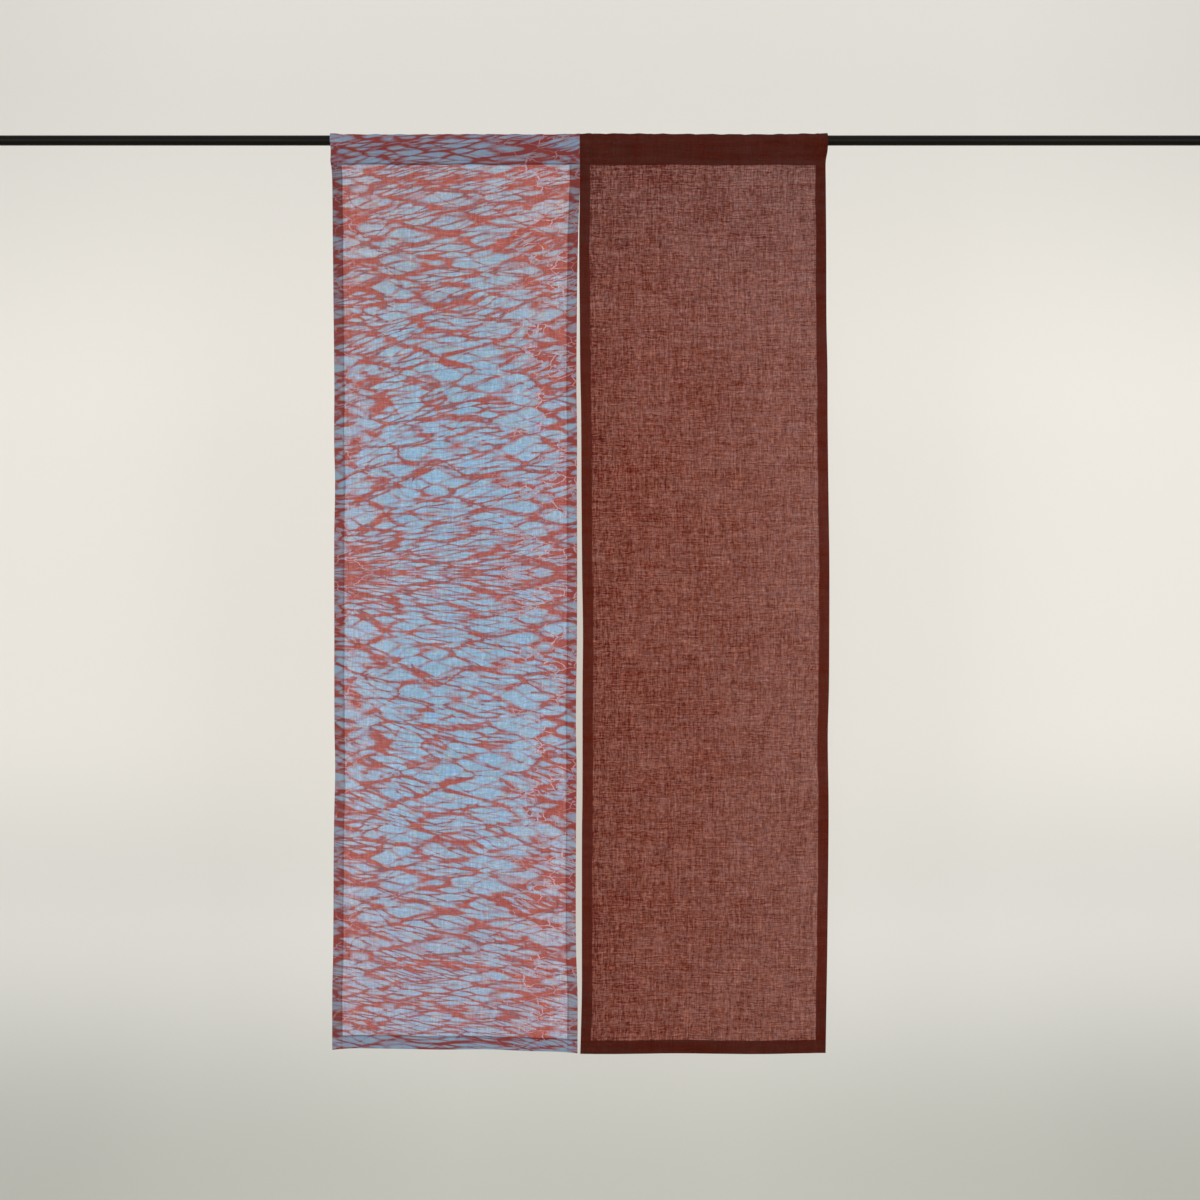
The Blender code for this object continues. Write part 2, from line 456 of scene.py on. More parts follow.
@dataclass(frozen=True)
class LinenWeave:
    """Plain weave of uneven linen yarn, as a node group.

    Attributes:
        pitch: Distance between threads.
        thin: Width of a thick or thin place in a yarn.
        short: Length of the shorter ones.
        long: Length of the longer ones.
    """

    pitch: float = 0.85
    thin: float = 2.1
    short: float = 9.0
    long: float = 48.0

    def yarns(
        self, spot: Spot, width: float, length: float, seeds: Pair, weft: float, octaves: float = 1.0
    ) -> Value:
        """Draw streaks along the warp and along the weft.

        Args:
            spot: The place.
            width: Width of a streak.
            length: Length of a streak.
            seeds: Pick the warp's streaks and the weft's.
            weft: Weight of the weft's streaks, where both together weigh 2.
            octaves: How many finer layers they have.

        Returns:
            How strong they are, straying about 0.
        """
        down = spot.noise((width, length), seeds[0], octaves)
        across = spot.noise((length, width), seeds[1], octaves)
        return down * (2.0 - weft) + across * weft - 1.0

    def build(self) -> bpy.types.NodeTree:
        """Build the group.

        Returns:
            The group: Tone, Hue and Shade stray about 0, Cover is what yarns hide, Height is relief.
        """
        w, (x, y, openness), result = open_group(
            "linen weave", ("Across", "Along", "Openness"), ("Tone", "Hue", "Shade", "Cover", "Height")
        )
        sway = Spot(x, y).push((13.0, 13.0), 2.0, (0.004, 0.004, 0.0))
        spot = Spot(*(w.vector(x, y) + sway).parts()[:2])
        runs = self.yarns(spot, self.thin, self.long, (14.3, 21.9), weft=1.07)
        tone = self.yarns(spot, self.thin, self.short, (3.7, 9.1), weft=1.07) + runs * 0.8
        tone = tone + tone * tone * 0.45 - 0.025
        shade = self.yarns(spot, 14.0, 160.0, (49.0, 44.0), weft=1.4, octaves=2.0)
        shade = shade + spot.noise((150.0, 110.0), 55.0, octaves=2.0) - 0.5

        turns = math.pi / (self.pitch * MM)
        sag_x, sag_y, _ = spot.push((9.0, 9.0), 30.0, (2.6, 2.6, 0.0)).parts()
        across, along = spot.x.line(turns, sag_x).work("SINE"), spot.y.line(turns, sag_y).work("SINE")
        over = across * along
        warp_top = abs(across) * over.ramp(-0.3, 0.3, 0.35, 1.0)
        weft_top = abs(along) * over.ramp(-0.3, 0.3, 1.0, 0.35)
        w.dress(
            result,
            Tone=tone,
            Hue=self.yarns(spot, 2.6, 30.0, (61.0, 67.0), weft=1.0),
            Shade=shade,
            Cover=1.0 - openness * tone.ramp(-0.5, 0.5, 0.4, 1.6),
            Height=tone.line(0.8, warp_top.work("MAXIMUM", weft_top)),
        )
        return w.tree


@dataclass(frozen=True)
class VeinLines:
    """Long veins that run side by side and wander.

    Attributes:
        climb: How far they climb to the right, per length.
        pitch: Usual distance between them.
        cell: Size of their wander across and along.
        stray: How far they wander, as a share of the pitch.
        seed: Picks one set of wanders out of many.
    """

    climb: float
    pitch: float
    cell: Pair
    stray: float
    seed: float

    def strength(self, spot: Spot, half: Feed) -> Value:
        """Work out how strong the veins are at a place.

        Args:
            spot: The place.
            half: Half width of the veins, in millimetres.

        Returns:
            1 in the middle of a vein, falling to 0 beside it.
        """
        wander = spot.noise(self.cell, self.seed) - 0.5
        lane = wander.line(2.0 * self.stray, spot.x.line(-self.climb, spot.y) * (1.0 / (self.pitch * MM)))
        away = lane.work("PINGPONG", 0.5) / (half * (2.0 / self.pitch))
        return away.ramp(0.0, 1.0, 1.0, 0.0, soft=True)


@dataclass(frozen=True)
class LensNet:
    """Net of diamond-shaped meshes that lie on their sides.

    Attributes:
        size: Usual size of a mesh across and along.
        uneven: How uneven the meshes are, from 0 to 1.
        lean: How much the veins that climb to the right are crowded.
    """

    size: Pair
    uneven: float
    lean: float = 1.0

    def place(self, spot: Spot, climb: Feed, jump: Feed = 0.0, finer: Feed = 1.0) -> Spot:
        """Turn a place on the cloth into meshes along the net's two slanting ways.

        Args:
            spot: The place.
            climb: How far the meshes climb to the right, per length.
            jump: Moves the net on, in meshes.
            finer: How much narrower than usual the meshes are.

        Returns:
            The place on the net.
        """
        unit = Spot(spot.x, spot.y - spot.x * climb).scaled(self.size)
        across, along = unit.x + jump, unit.y * finer
        return Spot((across + along) * self.lean, across - along)


@dataclass(frozen=True)
class RippleDye:
    """Resist dyeing that leaves bundles of pale strokes between wandering veins, as a node group.

    The cloth was doubled when it was tied, so the lower half mirrors the upper half.

    Attributes:
        mirror: Distance down the cloth of the doubling.
        crowd: How far from the doubling the strokes are crowded.
        bundle: The net that parts the bundles.
        stroke: The net that parts the strokes of a bundle.
        rising: The long veins that climb to the right.
        falling: The long veins that climb to the left.
        streaks: The fine veins within the strokes.
        crackle: Size of the meshes of pale hairlines.
    """

    mirror: float = 704.0
    crowd: float = 42.0
    bundle: LensNet = LensNet(size=(150.0, 46.0), uneven=0.42)
    stroke: LensNet = LensNet(size=(84.0, 25.0), uneven=0.45, lean=0.95)
    rising: VeinLines = VeinLines(climb=0.40, pitch=52.0, cell=(90.0, 50.0), stray=0.45, seed=40.0)
    falling: VeinLines = VeinLines(climb=-0.36, pitch=60.0, cell=(90.0, 50.0), stray=0.45, seed=52.0)
    streaks: VeinLines = VeinLines(climb=0.16, pitch=8.0, cell=(70.0, 20.0), stray=0.8, seed=61.0)
    crackle: Pair = (34.0, 20.0)

    def nets(self, spot: Spot, level: Value, thick: Value, side: Value) -> Value:
        """Work out how red the veins between bundles and between their strokes are.

        Args:
            spot: The place.
            level: How level the strokes run, as a factor of their climb.
            thick: Noise that makes veins thick or thin.
            side: How near the side edges are.

        Returns:
            The redness.
        """
        bundles = self.bundle.place(spot, 0.05)
        edge = bundles.net(NetPart.LINE, self.bundle.uneven)
        steeper, onward, narrower = bundles.net(NetPart.LOTS, self.bundle.uneven).parts()
        half = side.line(0.02, thick.ramp(0.33, 0.72, 0.03, 0.13))
        between = (edge / half).ramp(0.0, 2.0, 0.70, 0.0, soft=True)

        fine = narrower.ramp(0.38, 0.48)
        climb = (steeper.ramp(0.0, 1.0, -0.12, 0.25) + fine * 0.15) * level
        strokes = self.stroke.place(spot, climb, onward * 7.0, fine + 1.0)
        half = side * 0.03 + thick.ramp(0.33, 0.72, 0.07, 0.16)
        half += edge.ramp(0.0, 0.25, 0.08, 0.0) + fine * 0.03
        line = strokes.net(NetPart.LINE, self.stroke.uneven)
        within = (line / half).ramp(0.0, 1.9, 1.0, 0.0, soft=True)
        weight = spot.noise((46.0, 20.0), 17.0).ramp(0.35, 0.65, 0.65, 1.05) * fine.line(0.12, 1.0)
        return within.line(weight, between)

    def hairlines(self, spot: Spot, red: Value, near: Value) -> Value:
        """Work out the pale hairlines that edge and cross the veins in patches.

        Args:
            spot: The place.
            red: How strong the veins are there.
            near: How near the doubling is.

        Returns:
            How strong a hairline is there.
        """
        kink_x, kink_y, kink = spot.push((17.0, 11.0), 95.0, (0.014, 0.009, 0.8)).parts()
        meshes = Spot(spot.x + kink_x, spot.y + kink_y).scaled(self.crackle)
        crossing = meshes.net(NetPart.LINE, 1.0).ramp(0.01, 0.04, 1.0, 0.0) * red.ramp(0.4, 0.7)
        edge = abs(red + kink - 0.75).ramp(0.02, 0.12, 1.0, 0.0)
        zone = spot.x.ramp(0.255, 0.33, 0.1, 1.0) + spot.x.ramp(0.06, 0.02, 0.0, 0.6) + near * 0.7
        patch = spot.noise((60.0, 40.0), 99.0).ramp(0.40, 0.56)
        return (edge.work("MAXIMUM", crossing) * (zone * patch)).ramp(0.0, 1.0)

    def build(self) -> bpy.types.NodeTree:
        """Build the group.

        Returns:
            The group: Pale is 0 in veins, Crackle and Ink mark pale and dark hairlines, Bleed is red.
        """
        w, (x, along), result = open_group(
            "ripple dye", ("Across", "Along"), ("Pale", "Crackle", "Ink", "Bleed")
        )
        away = abs(along + self.mirror * MM)
        near = (away * (-1.0 / (self.crowd * MM))).work("EXPONENT")
        spot = Spot(x, near.line(-0.85 * self.crowd * MM, away + away.ramp(0.35, 0.80, 0.0, 0.08)))
        bends = spot.push((120.0, 60.0), 4.6, (0.030, 0.020, 0.0))
        bends += spot.push((40.0, 18.0), 7.7, (0.012, 0.004, 0.0))
        tight = x.ramp(0.0, 0.11, -0.03, 0.0) + x.ramp(0.31, 0.43, 0.0, 0.035)
        flow = w.vector(x + tight, spot.y + away.ramp(0.63, 0.80, 0.0, 0.07)) + bends
        flow = Spot(*flow.parts()[:2])

        left, right = x.ramp(0.13, 0.03, soft=True), x.ramp(0.27, 0.36, soft=True)
        side = left.line(0.7, right * away.ramp(0.25, 0.55, 0.45, 1.1))
        thick = spot.noise((60.0, 26.0), 12.0)
        half = side.line(0.7, thick.ramp(0.33, 0.72, 0.6, 3.6))
        faint = spot.noise((50.0, 22.0), 31.0).ramp(0.45, 0.64, 0.0, 0.5)
        pool = spot.noise((110.0, 60.0), 3.0, octaves=2.0).ramp(0.34, 0.66, -0.5, 0.5)
        red = self.nets(flow, away.ramp(0.1, 0.5, 0.4, 1.0), thick, side)
        red += self.rising.strength(flow, half) * 0.6 + self.falling.strength(flow, half) * 0.6
        red += self.streaks.strength(flow, 1.2) * faint + pool * side.line(0.75, 0.30) + side * 0.20
        red += x.ramp(0.0, 0.035, 0.13, 0.0) + x.ramp(0.385, 0.407, 0.0, 0.12)
        red += near * side.line(0.25, 0.30) + away.ramp(0.25, 0.60, -0.41, -0.19)
        red += along.ramp(-1.15, -0.75, -0.11, 0.0) + along.ramp(-1.49, -1.43, -0.12, 0.0)
        red += spot.noise((16.0, 6.0), 81.0) * 0.4 + spot.noise((2.6, 8.0), 85.0) * 0.25 - 0.325
        brim = abs(red - 0.80).ramp(0.04, 0.24, 1.0, 0.0)
        w.dress(
            result,
            Pale=red.ramp(1.1, -0.1) * away.ramp(0.35, 0.65, 1.0, 0.89),
            Crackle=self.hairlines(spot, red, near),
            Ink=brim * thick.ramp(0.68, 0.42),
            Bleed=near * 0.6 + side + left * 0.1 + away.ramp(0.3, 0.6, 0.0, 0.4),
        )
        return w.tree


# ---- Finishes ----


def new_material(name: str) -> tuple[bpy.types.Material, Wiring, bpy.types.Node]:
    """Make a material with one Principled shader.

    Args:
        name: The material's name.

    Returns:
        The material, the wiring of its tree and its shader.
    """
    material = bpy.data.materials.new(name)
    material.use_nodes = True
    return material, Wiring(material.node_tree), material.node_tree.nodes["Principled BSDF"]


@dataclass(frozen=True)
class LinenFinish:
    """Piece-dyed linen of one colour.

    Attributes:
        name: The material's name.
        single: Colour of one ply, lifted by painted light that stands for light shining through it.
        folded: Colour where plies lie on each other, without the painted light that shines through one
            ply.
        mottle: How much the yarns' tone varies.
        glow: How much painted light, standing for plain light that comes through where yarns are thin, is
            added, as a share of the mottle.
        openness: Share of the cloth that is pores.
        right_painted_light: Painted light: how much paler the cloth is by its right edge than by its left
            one.
        faded: How much greyer the cloth is near its heading.
        dimmed: How much darker the cloth is just below its heading, and half as much by its left edge, by
            painted shade.
        lower_light: How much brighter the cloth is by its lower end, by painted light.
        hem_tint: What the side hems' colour is multiplied by.
        right_hem_painted_light: Painted light: how much brighter the right side hem is than the left one.
        seam_shade: How much darker the cloth is where stitches draw it in.
    """

    name: str
    single: Colour
    folded: Colour
    mottle: float
    glow: float = 0.05
    openness: float = 0.035
    right_painted_light: float = 0.0
    faded: float = 0.0
    dimmed: float = 0.0
    lower_light: float = 0.0
    hem_tint: Colour = (1.0, 1.0, 1.0)
    right_hem_painted_light: float = 0.0
    seam_shade: float = 0.0

    def colour(self, across: Value, along: Value, plies: Value) -> Triple:
        """Colour of the cloth before its weave varies it.

        Args:
            across: Place across the cut, in metres.
            along: Place along the cut, in metres.
            plies: How many plies lie on each other.

        Returns:
            The colour.
        """
        # From the single ply's colour, which holds painted light shining through, to the folded colour.
        return plies.w.blend(plies.ramp(1.0, HEADING_PLIES), self.single, self.folded)

    def build(self, weave: bpy.types.NodeTree) -> bpy.types.Material:
        """Build the material.

        Args:
            weave: The weave's node group.

        Returns:
            The material.
        """
        material, w, shader = new_material(self.name)
        across, along, _ = w.make("ShaderNodeUVMap", "UV", uv_map=CLOTH_MAP).parts()
        plies, seam = (
            w.make("ShaderNodeAttribute", "Fac", attribute_type="GEOMETRY", attribute_name=name)
            for name in (PLIES, SEAM)
        )
        threads = w.add("ShaderNodeGroup", node_tree=weave)
        w.dress(threads, Across=across, Along=along, Openness=self.openness)
        tone, hue, shade, cover, height = (w.read(threads, i) for i in range(5))
        folds = plies.ramp(1.0, SIDE_PLIES)
        tone *= folds.ramp(0.0, 1.0, self.mottle, 0.42 * self.mottle)
        # Painted light: the single ply grows paler towards its right edge; it joins the yarns' shade and
        # the glow.
        right_painted_light = (across - 0.2) * folds.ramp(0.0, 1.0, self.right_painted_light / 0.4, 0.0)
        shade = shade.line(folds.ramp(0.0, 1.0, 1.0, 0.5), right_painted_light)
        # Painted light that stands for light coming through thin yarns; it is added to the colour further
        # down.
        glow = shade.line(0.35 * self.glow, tone * folds.ramp(0.0, 1.0, self.glow, 0.1 * self.glow))

        # Painted shade just below the heading and by the left edge (a negative dimmed paints light there
        # instead), and painted light by the lower end; lit also carries the yarns' own tone.
        dim = along.ramp(-0.26, -0.05, 0.0, self.dimmed) + across.ramp(0.02, 0.09, 0.5 * self.dimmed, 0.0)
        lit = tone + shade * 0.12 + dim * folds.ramp(0.0, 1.0, -1.0, 0.0)
        lit += along.ramp(-1.45, -0.75, 1.0 + self.lower_light, 1.0)
        hem = folds * plies.ramp(SIDE_PLIES, HEADING_PLIES, 1.0, 0.0)
        # Painted shade on the side hems towards the heading and the lower edge, and painted light on the
        # right-hand hem.
        shaded = along.ramp(-0.42, -0.05, 0.0, -0.29) + along.ramp(-1.43, -1.32, -0.2, 0.0)
        shaded += across.ramp(0.1, 0.3, 0.0, self.right_hem_painted_light)
        lit = lit * seam.ramp(0.0, 1.0, 1.0, 1.0 - self.seam_shade) * hem.line(shaded, 1.0)

        tint = w.blend(hem, (1.0, 1.0, 1.0), self.hem_tint)
        colour = self.colour(across, along, plies) * tint * lit
        colour += w.vector(shade.line(-0.2 * self.glow, glow), glow, glow)
        hue += along.ramp(-0.55, -0.08, 0.0, -0.7 * self.faded)
        colour *= w.vector(hue.line(0.42, 1.0), 1.0, hue.line(-0.6, 1.0))
        outside = 1.0 - w.make("ShaderNodeNewGeometry", "Backfacing")
        bump = w.make("ShaderNodeBump", "Normal", Strength=0.5, Distance=0.00025, Height=height)
        w.dress(shader, Base_Color=colour, Roughness=0.9, Specular_IOR_Level=0.1)
        w.dress(shader, Alpha=cover * outside, Normal=bump)
        return material


@dataclass(frozen=True)
class DyedLinenFinish(LinenFinish):
    """Linen with the ripple dye.

    Attributes:
        pale_single: Colour of a lens in one ply, lifted by painted light that stands for light shining
            through it.
        pale_folded: Colour of a lens where plies lie on each other, without that painted light.
        hairline: Colour of a pale hairline.
        ink: Colour of a dark hairline.
        seep: How far the seeped red moves a colour.
        upper_tint: What the single cloth's colour is multiplied by near its top.
        dye: The dye's design.
    """

    pale_single: Colour = (0.0, 0.0, 0.0)
    pale_folded: Colour = (0.0, 0.0, 0.0)
    hairline: Colour = (0.6, 0.5, 0.6)
    ink: Colour = (0.1, 0.05, 0.05)
    seep: Colour = (1.0, 0.1, -0.25)
    upper_tint: Colour = (1.0, 0.955, 0.89)
    dye: RippleDye = RippleDye()

    def colour(self, across: Value, along: Value, plies: Value) -> Triple:
        """Colour of the dyed cloth before its weave varies it.

        Args:
            across: Place across the cut, in metres.
            along: Place along the cut, in metres.
            plies: How many plies lie on each other.

        Returns:
            The colour.
        """
        w = plies.w
        design = w.add("ShaderNodeGroup", node_tree=self.dye.build(), Across=across, Along=along)
        pale, crackle, ink, bleed = (w.read(design, i) for i in range(4))
        bleed *= pale.ramp(0.0, 1.0, 0.01, 0.07)
        single = w.blend(pale, self.single, self.pale_single) + w.vector(bleed, bleed, bleed) * self.seep
        single = w.blend(along.ramp(-0.50, -0.20), single, single * self.upper_tint)
        folded = w.blend(pale, self.folded, self.pale_folded)
        drawn = w.blend(ink * 0.85, w.blend(plies.ramp(1.0, HEADING_PLIES), single, folded), self.ink)
        return w.blend(crackle * plies.ramp(1.0, HEADING_PLIES, 0.75, 0.4), drawn, self.hairline)


@dataclass(frozen=True)
class ThreadFinish:
    """Sewing thread.

    Attributes:
        name: The material's name.
        colour: The thread's colour.
    """

    name: str
    colour: Colour

    def build(self) -> bpy.types.Material:
        """Build the material.

        Returns:
            The material, with the thread's twist as fine tone.
        """
        material, w, shader = new_material(self.name)
        place = w.make("ShaderNodeTexCoord", "Object")
        grain = w.make("ShaderNodeTexNoise", "Fac", Vector=place, Scale=2600.0)
        colour = w.brighten(self.colour, grain.ramp(0.3, 0.7, 0.7, 1.3))
        w.dress(shader, Base_Color=colour, Roughness=0.7)
        return material


@dataclass(frozen=True)
class RodFinish:
    """Black satin paint on a metal rod.

    Attributes:
        name: The material's name.
        colour: The paint's colour.
    """

    name: str
    colour: Colour

    def build(self) -> bpy.types.Material:
        """Build the material.

        Returns:
            The material, with orange peel, dust and faint rubbed bands.
        """
        material, w, shader = new_material(self.name)
        place = w.make("ShaderNodeTexCoord", "Object")
        peel = w.make("ShaderNodeTexNoise", "Fac", Vector=place, Scale=900.0)
        rub = w.make("ShaderNodeTexNoise", "Fac", Vector=place * (6.0, 90.0, 90.0), Scale=1.0, Detail=4.0)
        w.dress(
            shader,
            Base_Color=w.brighten(self.colour, rub.ramp(0.35, 0.7, 0.8, 1.6)),
            Roughness=rub.ramp(0.3, 0.7, 0.42, 0.3),
            Specular_IOR_Level=0.09,
            Normal=w.make("ShaderNodeBump", "Normal", Strength=0.25, Distance=0.0001, Height=peel),
        )
        return material


# ---- Tables of the panels ----


class EdgeRow(NamedTuple):
    """How far a panel's side edges stray along +X at a drop."""

    drop: float
    left: float
    right: float


class LowerRow(NamedTuple):
    """How far the lower edge rises above the panel's full length."""

    across: float
    rise: float


class SlackRow(NamedTuple):
    """How far the heading stands up off the rod."""

    across: float
    lift: float


class FoldRow(NamedTuple):
    """A soft upright swell: its depth along +Y, its half width, and the drops it grows over."""

    across: float
    depth: float
    reach: float
    start: float
    full: float


class CreaseRow(NamedTuple):
    """A soft trough (depth along +Y) or ridge: its middle, length, half width and lean."""

    across: float
    drop: float
    length: float
    reach: float
    lean: float
    depth: float


def rows_of(kind: type[NamedTuple], *rows: tuple[float, ...]) -> tuple[NamedTuple, ...]:
    """A table's rows, from their plain numbers."""
    return tuple(kind(*row) for row in rows)


PATTERNED_EDGES = rows_of(
    EdgeRow,
    (-10, 0.0, 0.0), (16, 2.0, 0.0), (34, 1.0, 0.0), (44, 2.6, 0.0), (67, 3.9, 0.0), (150, 4.7, -2.6),
    (255, 5.7, -4.5), (400, 7.1, -5.4), (490, 6.8, -4.4), (560, 8.2, -4.9), (640, 6.8, -4.4),
    (800, 6.9, -4.6), (950, 7.1, -6.3), (1030, 8.2, -5.2), (1125, 6.3, -6.2), (1310, 5.1, -6.2),
    (1390, 3.6, -3.7), (1490, 3.6, -3.9),
)
PLAIN_EDGES = rows_of(
    EdgeRow,
    (-10, 0.0, 0.0), (16, 0.0, 0.0), (34, 0.0, -2.6), (67, 0.0, -2.6), (176, -1.0, -1.7),
    (293, 0.0, -1.2), (371, 0.7, 0.5), (450, 2.2, 0.8), (580, 2.8, 2.4), (700, 3.8, 3.8),
    (802, 5.2, 3.6), (893, 4.5, 3.1), (971, 4.5, 1.2), (1075, 4.3, 2.4), (1125, 3.6, 2.4),
    (1310, 3.4, 0.5), (1390, 3.3, -0.8), (1490, 0.8, -2.4),
)
PATTERNED_LOWER = rows_of(
    LowerRow,
    (0.00, 6.0), (0.10, 9.0), (0.32, 8.6), (0.45, 6.8), (0.65, 6.8), (0.77, 5.2), (0.92, 4.0),
    (1.00, 1.0),
)
PLAIN_LOWER = rows_of(LowerRow, (0.00, 0.3), (0.30, 0.0), (0.70, 0.2), (1.00, 0.4))
PATTERNED_SLACK = rows_of(
    SlackRow, (0.00, 0.9), (0.07, 0.2), (0.35, 0.0), (0.60, 0.4), (0.85, 0.0), (1.00, 0.8)
)
PLAIN_SLACK = rows_of(
    SlackRow, (0.00, 0.9), (0.15, 1.5), (0.40, 0.8), (0.75, 0.2), (0.92, 1.3), (1.00, 1.0)
)
PATTERNED_FOLDS = rows_of(
    FoldRow,
    (0.03, 3.5, 60, 60, 700), (0.27, -4.0, 85, 60, 520), (0.58, 3.5, 75, 80, 900),
    (0.86, -3.0, 70, 60, 640),
)
PLAIN_FOLDS = rows_of(
    FoldRow,
    (0.12, -3.5, 70, 60, 600), (0.40, 4.0, 90, 80, 760), (0.70, -3.0, 80, 60, 900),
    (0.98, 4.5, 60, 60, 560),
)
PATTERNED_CREASES = rows_of(
    CreaseRow,
    (0.16, 110, 120, 9, 0.25, 0.7), (0.44, 95, 90, 11, -0.05, -0.6), (0.80, 120, 130, 10, -0.22, 0.7),
    (0.35, 430, 260, 16, 0.06, 0.8), (0.70, 860, 320, 18, -0.05, -0.8), (0.22, 1180, 300, 16, -0.08, 0.7),
)
PLAIN_CREASES = rows_of(
    CreaseRow,
    (0.12, 115, 130, 10, 0.24, 0.7), (0.52, 100, 100, 12, 0.04, 0.6), (0.86, 110, 120, 9, -0.26, -0.7),
    (0.60, 520, 300, 17, -0.06, 0.8), (0.25, 900, 340, 18, 0.05, -0.8), (0.78, 1200, 280, 15, 0.07, 0.7),
)


# ---- Cloth ----


@dataclass(frozen=True)
class Wander:
    """A smooth, irregular wave along one measure.

    Attributes:
        length: Main wave length.
        height: Most that the wave strays either way.
        phase: Where the wave starts.
    """

    length: float
    height: float
    phase: float

    def at(self, place: float, seed: float) -> float:
        """Work out the height of the wave at a place.

        Args:
            place: The place.
            seed: Adds to the phase.

        Returns:
            The height.
        """
        turn, phase = math.tau * place / self.length, seed + self.phase
        first = 0.55 * math.sin(turn + phase)
        second = 0.30 * math.sin(1.83 * turn + 2.3 * phase + 1.0)
        third = 0.15 * math.sin(3.37 * turn + 4.1 * phase + 2.0)
        return self.height * (first + second + third)


class Wave(Enum):
    """The small waves of a panel's cloth and seams."""

    HEM_SWAY = Wander(130.0, 0.7, 0.0)
    STITCH_SWAY = Wander(150.0, 0.9, 1.7)
    FLUTTER = Wander(95.0, 0.35, 0.6)
    LONG_FLUTTER = Wander(340.0, 1.0, 2.2)
    SIDE_PUCKER = Wander(15.0, 0.22, 0.9)
    ACROSS_PUCKER = Wander(19.0, 0.28, 3.1)
    OVER_PUCKER = Wander(38.0, 0.8, 1.3)


class SeamMark(NamedTuple):
    """What a line of stitches does to the cloth beside it, with a half width for each.

    The puckers reach furthest. The dent has a depth, and the shade a strength from 0 to 1.
    """

    puckers: float
    dent: float
    depth: float
    shade: float
    strength: float


class SeamKind(Enum):
    """The seams of a panel."""

    HEADING = SeamMark(puckers=16.0, dent=1.3, depth=0.22, shade=1.3, strength=1.0)
    SIDE = SeamMark(puckers=8.0, dent=1.1, depth=0.16, shade=1.0, strength=0.4)
    LOWER = SeamMark(puckers=12.0, dent=1.1, depth=0.16, shade=1.2, strength=0.6)


class Side(Enum):
    """Which part of a panel's width a column lies in."""

    LEFT = "left hem"
    BETWEEN = "between the hems"
    RIGHT = "right hem"


class Part(Enum):
    """Which part of a panel's length a row lies in, in the order that the cloth runs."""

    FLAP = "back of the heading"
    OVER = "over the rod"
    FALL = "front of the heading"
    BODY = "hanging cloth"
    HEM = "face of the lower hem"
    TURN = "fold of the lower hem"
    RETURN = "lower hem behind"


@dataclass(frozen=True)
class Column:
    """One line down a panel.

    Attributes:
        side: The part of the width.
        amount: The inset in a hem, or the share of the width between the hems.
        behind: 0 on the face, 1 on the hem turned behind it.
    """

    side: Side
    amount: float
    behind: float = 0.0


@dataclass(frozen=True)
class Row:
    """One line across a panel.

    Attributes:
        part: The part of the length.
        share: How far through that part, from 0 to 1.
    """

    part: Part
    share: float


@dataclass(frozen=True)
class PanelCut:
    """Sizes of one panel.

    Attributes:
        name: The piece's name.
        node: The solid that it stands for.
        slot: The material slot, which is not used.
        left: Left edge at the heading, along the rod.
        right: Right edge at the heading, along the rod.
        edges: How the side edges stray.
        lower: How the lower edge rises.
        slack: How the heading stands off the rod.
        folds: The soft swells.
        creases: The soft troughs and ridges.
        seed: Picks the panel's own small waves.
        length: Full drop of the lower edge.
    """

    name: str
    node: str
    slot: str
    left: float
    right: float
    edges: tuple[EdgeRow, ...]
    lower: tuple[LowerRow, ...]
    slack: tuple[SlackRow, ...]
    folds: tuple[FoldRow, ...]
    creases: tuple[CreaseRow, ...]
    seed: float
    length: float = 1487.5

    @property
    def width(self) -> float:
        """Width at the heading."""
        return self.right - self.left


class ClothPoint(NamedTuple):
    """A point of the cloth: place, height along the flat cut, plies, and how near a seam it lies."""

    x: float
    y: float
    z: float
    along: float
    plies: float
    seam: float = 0.0


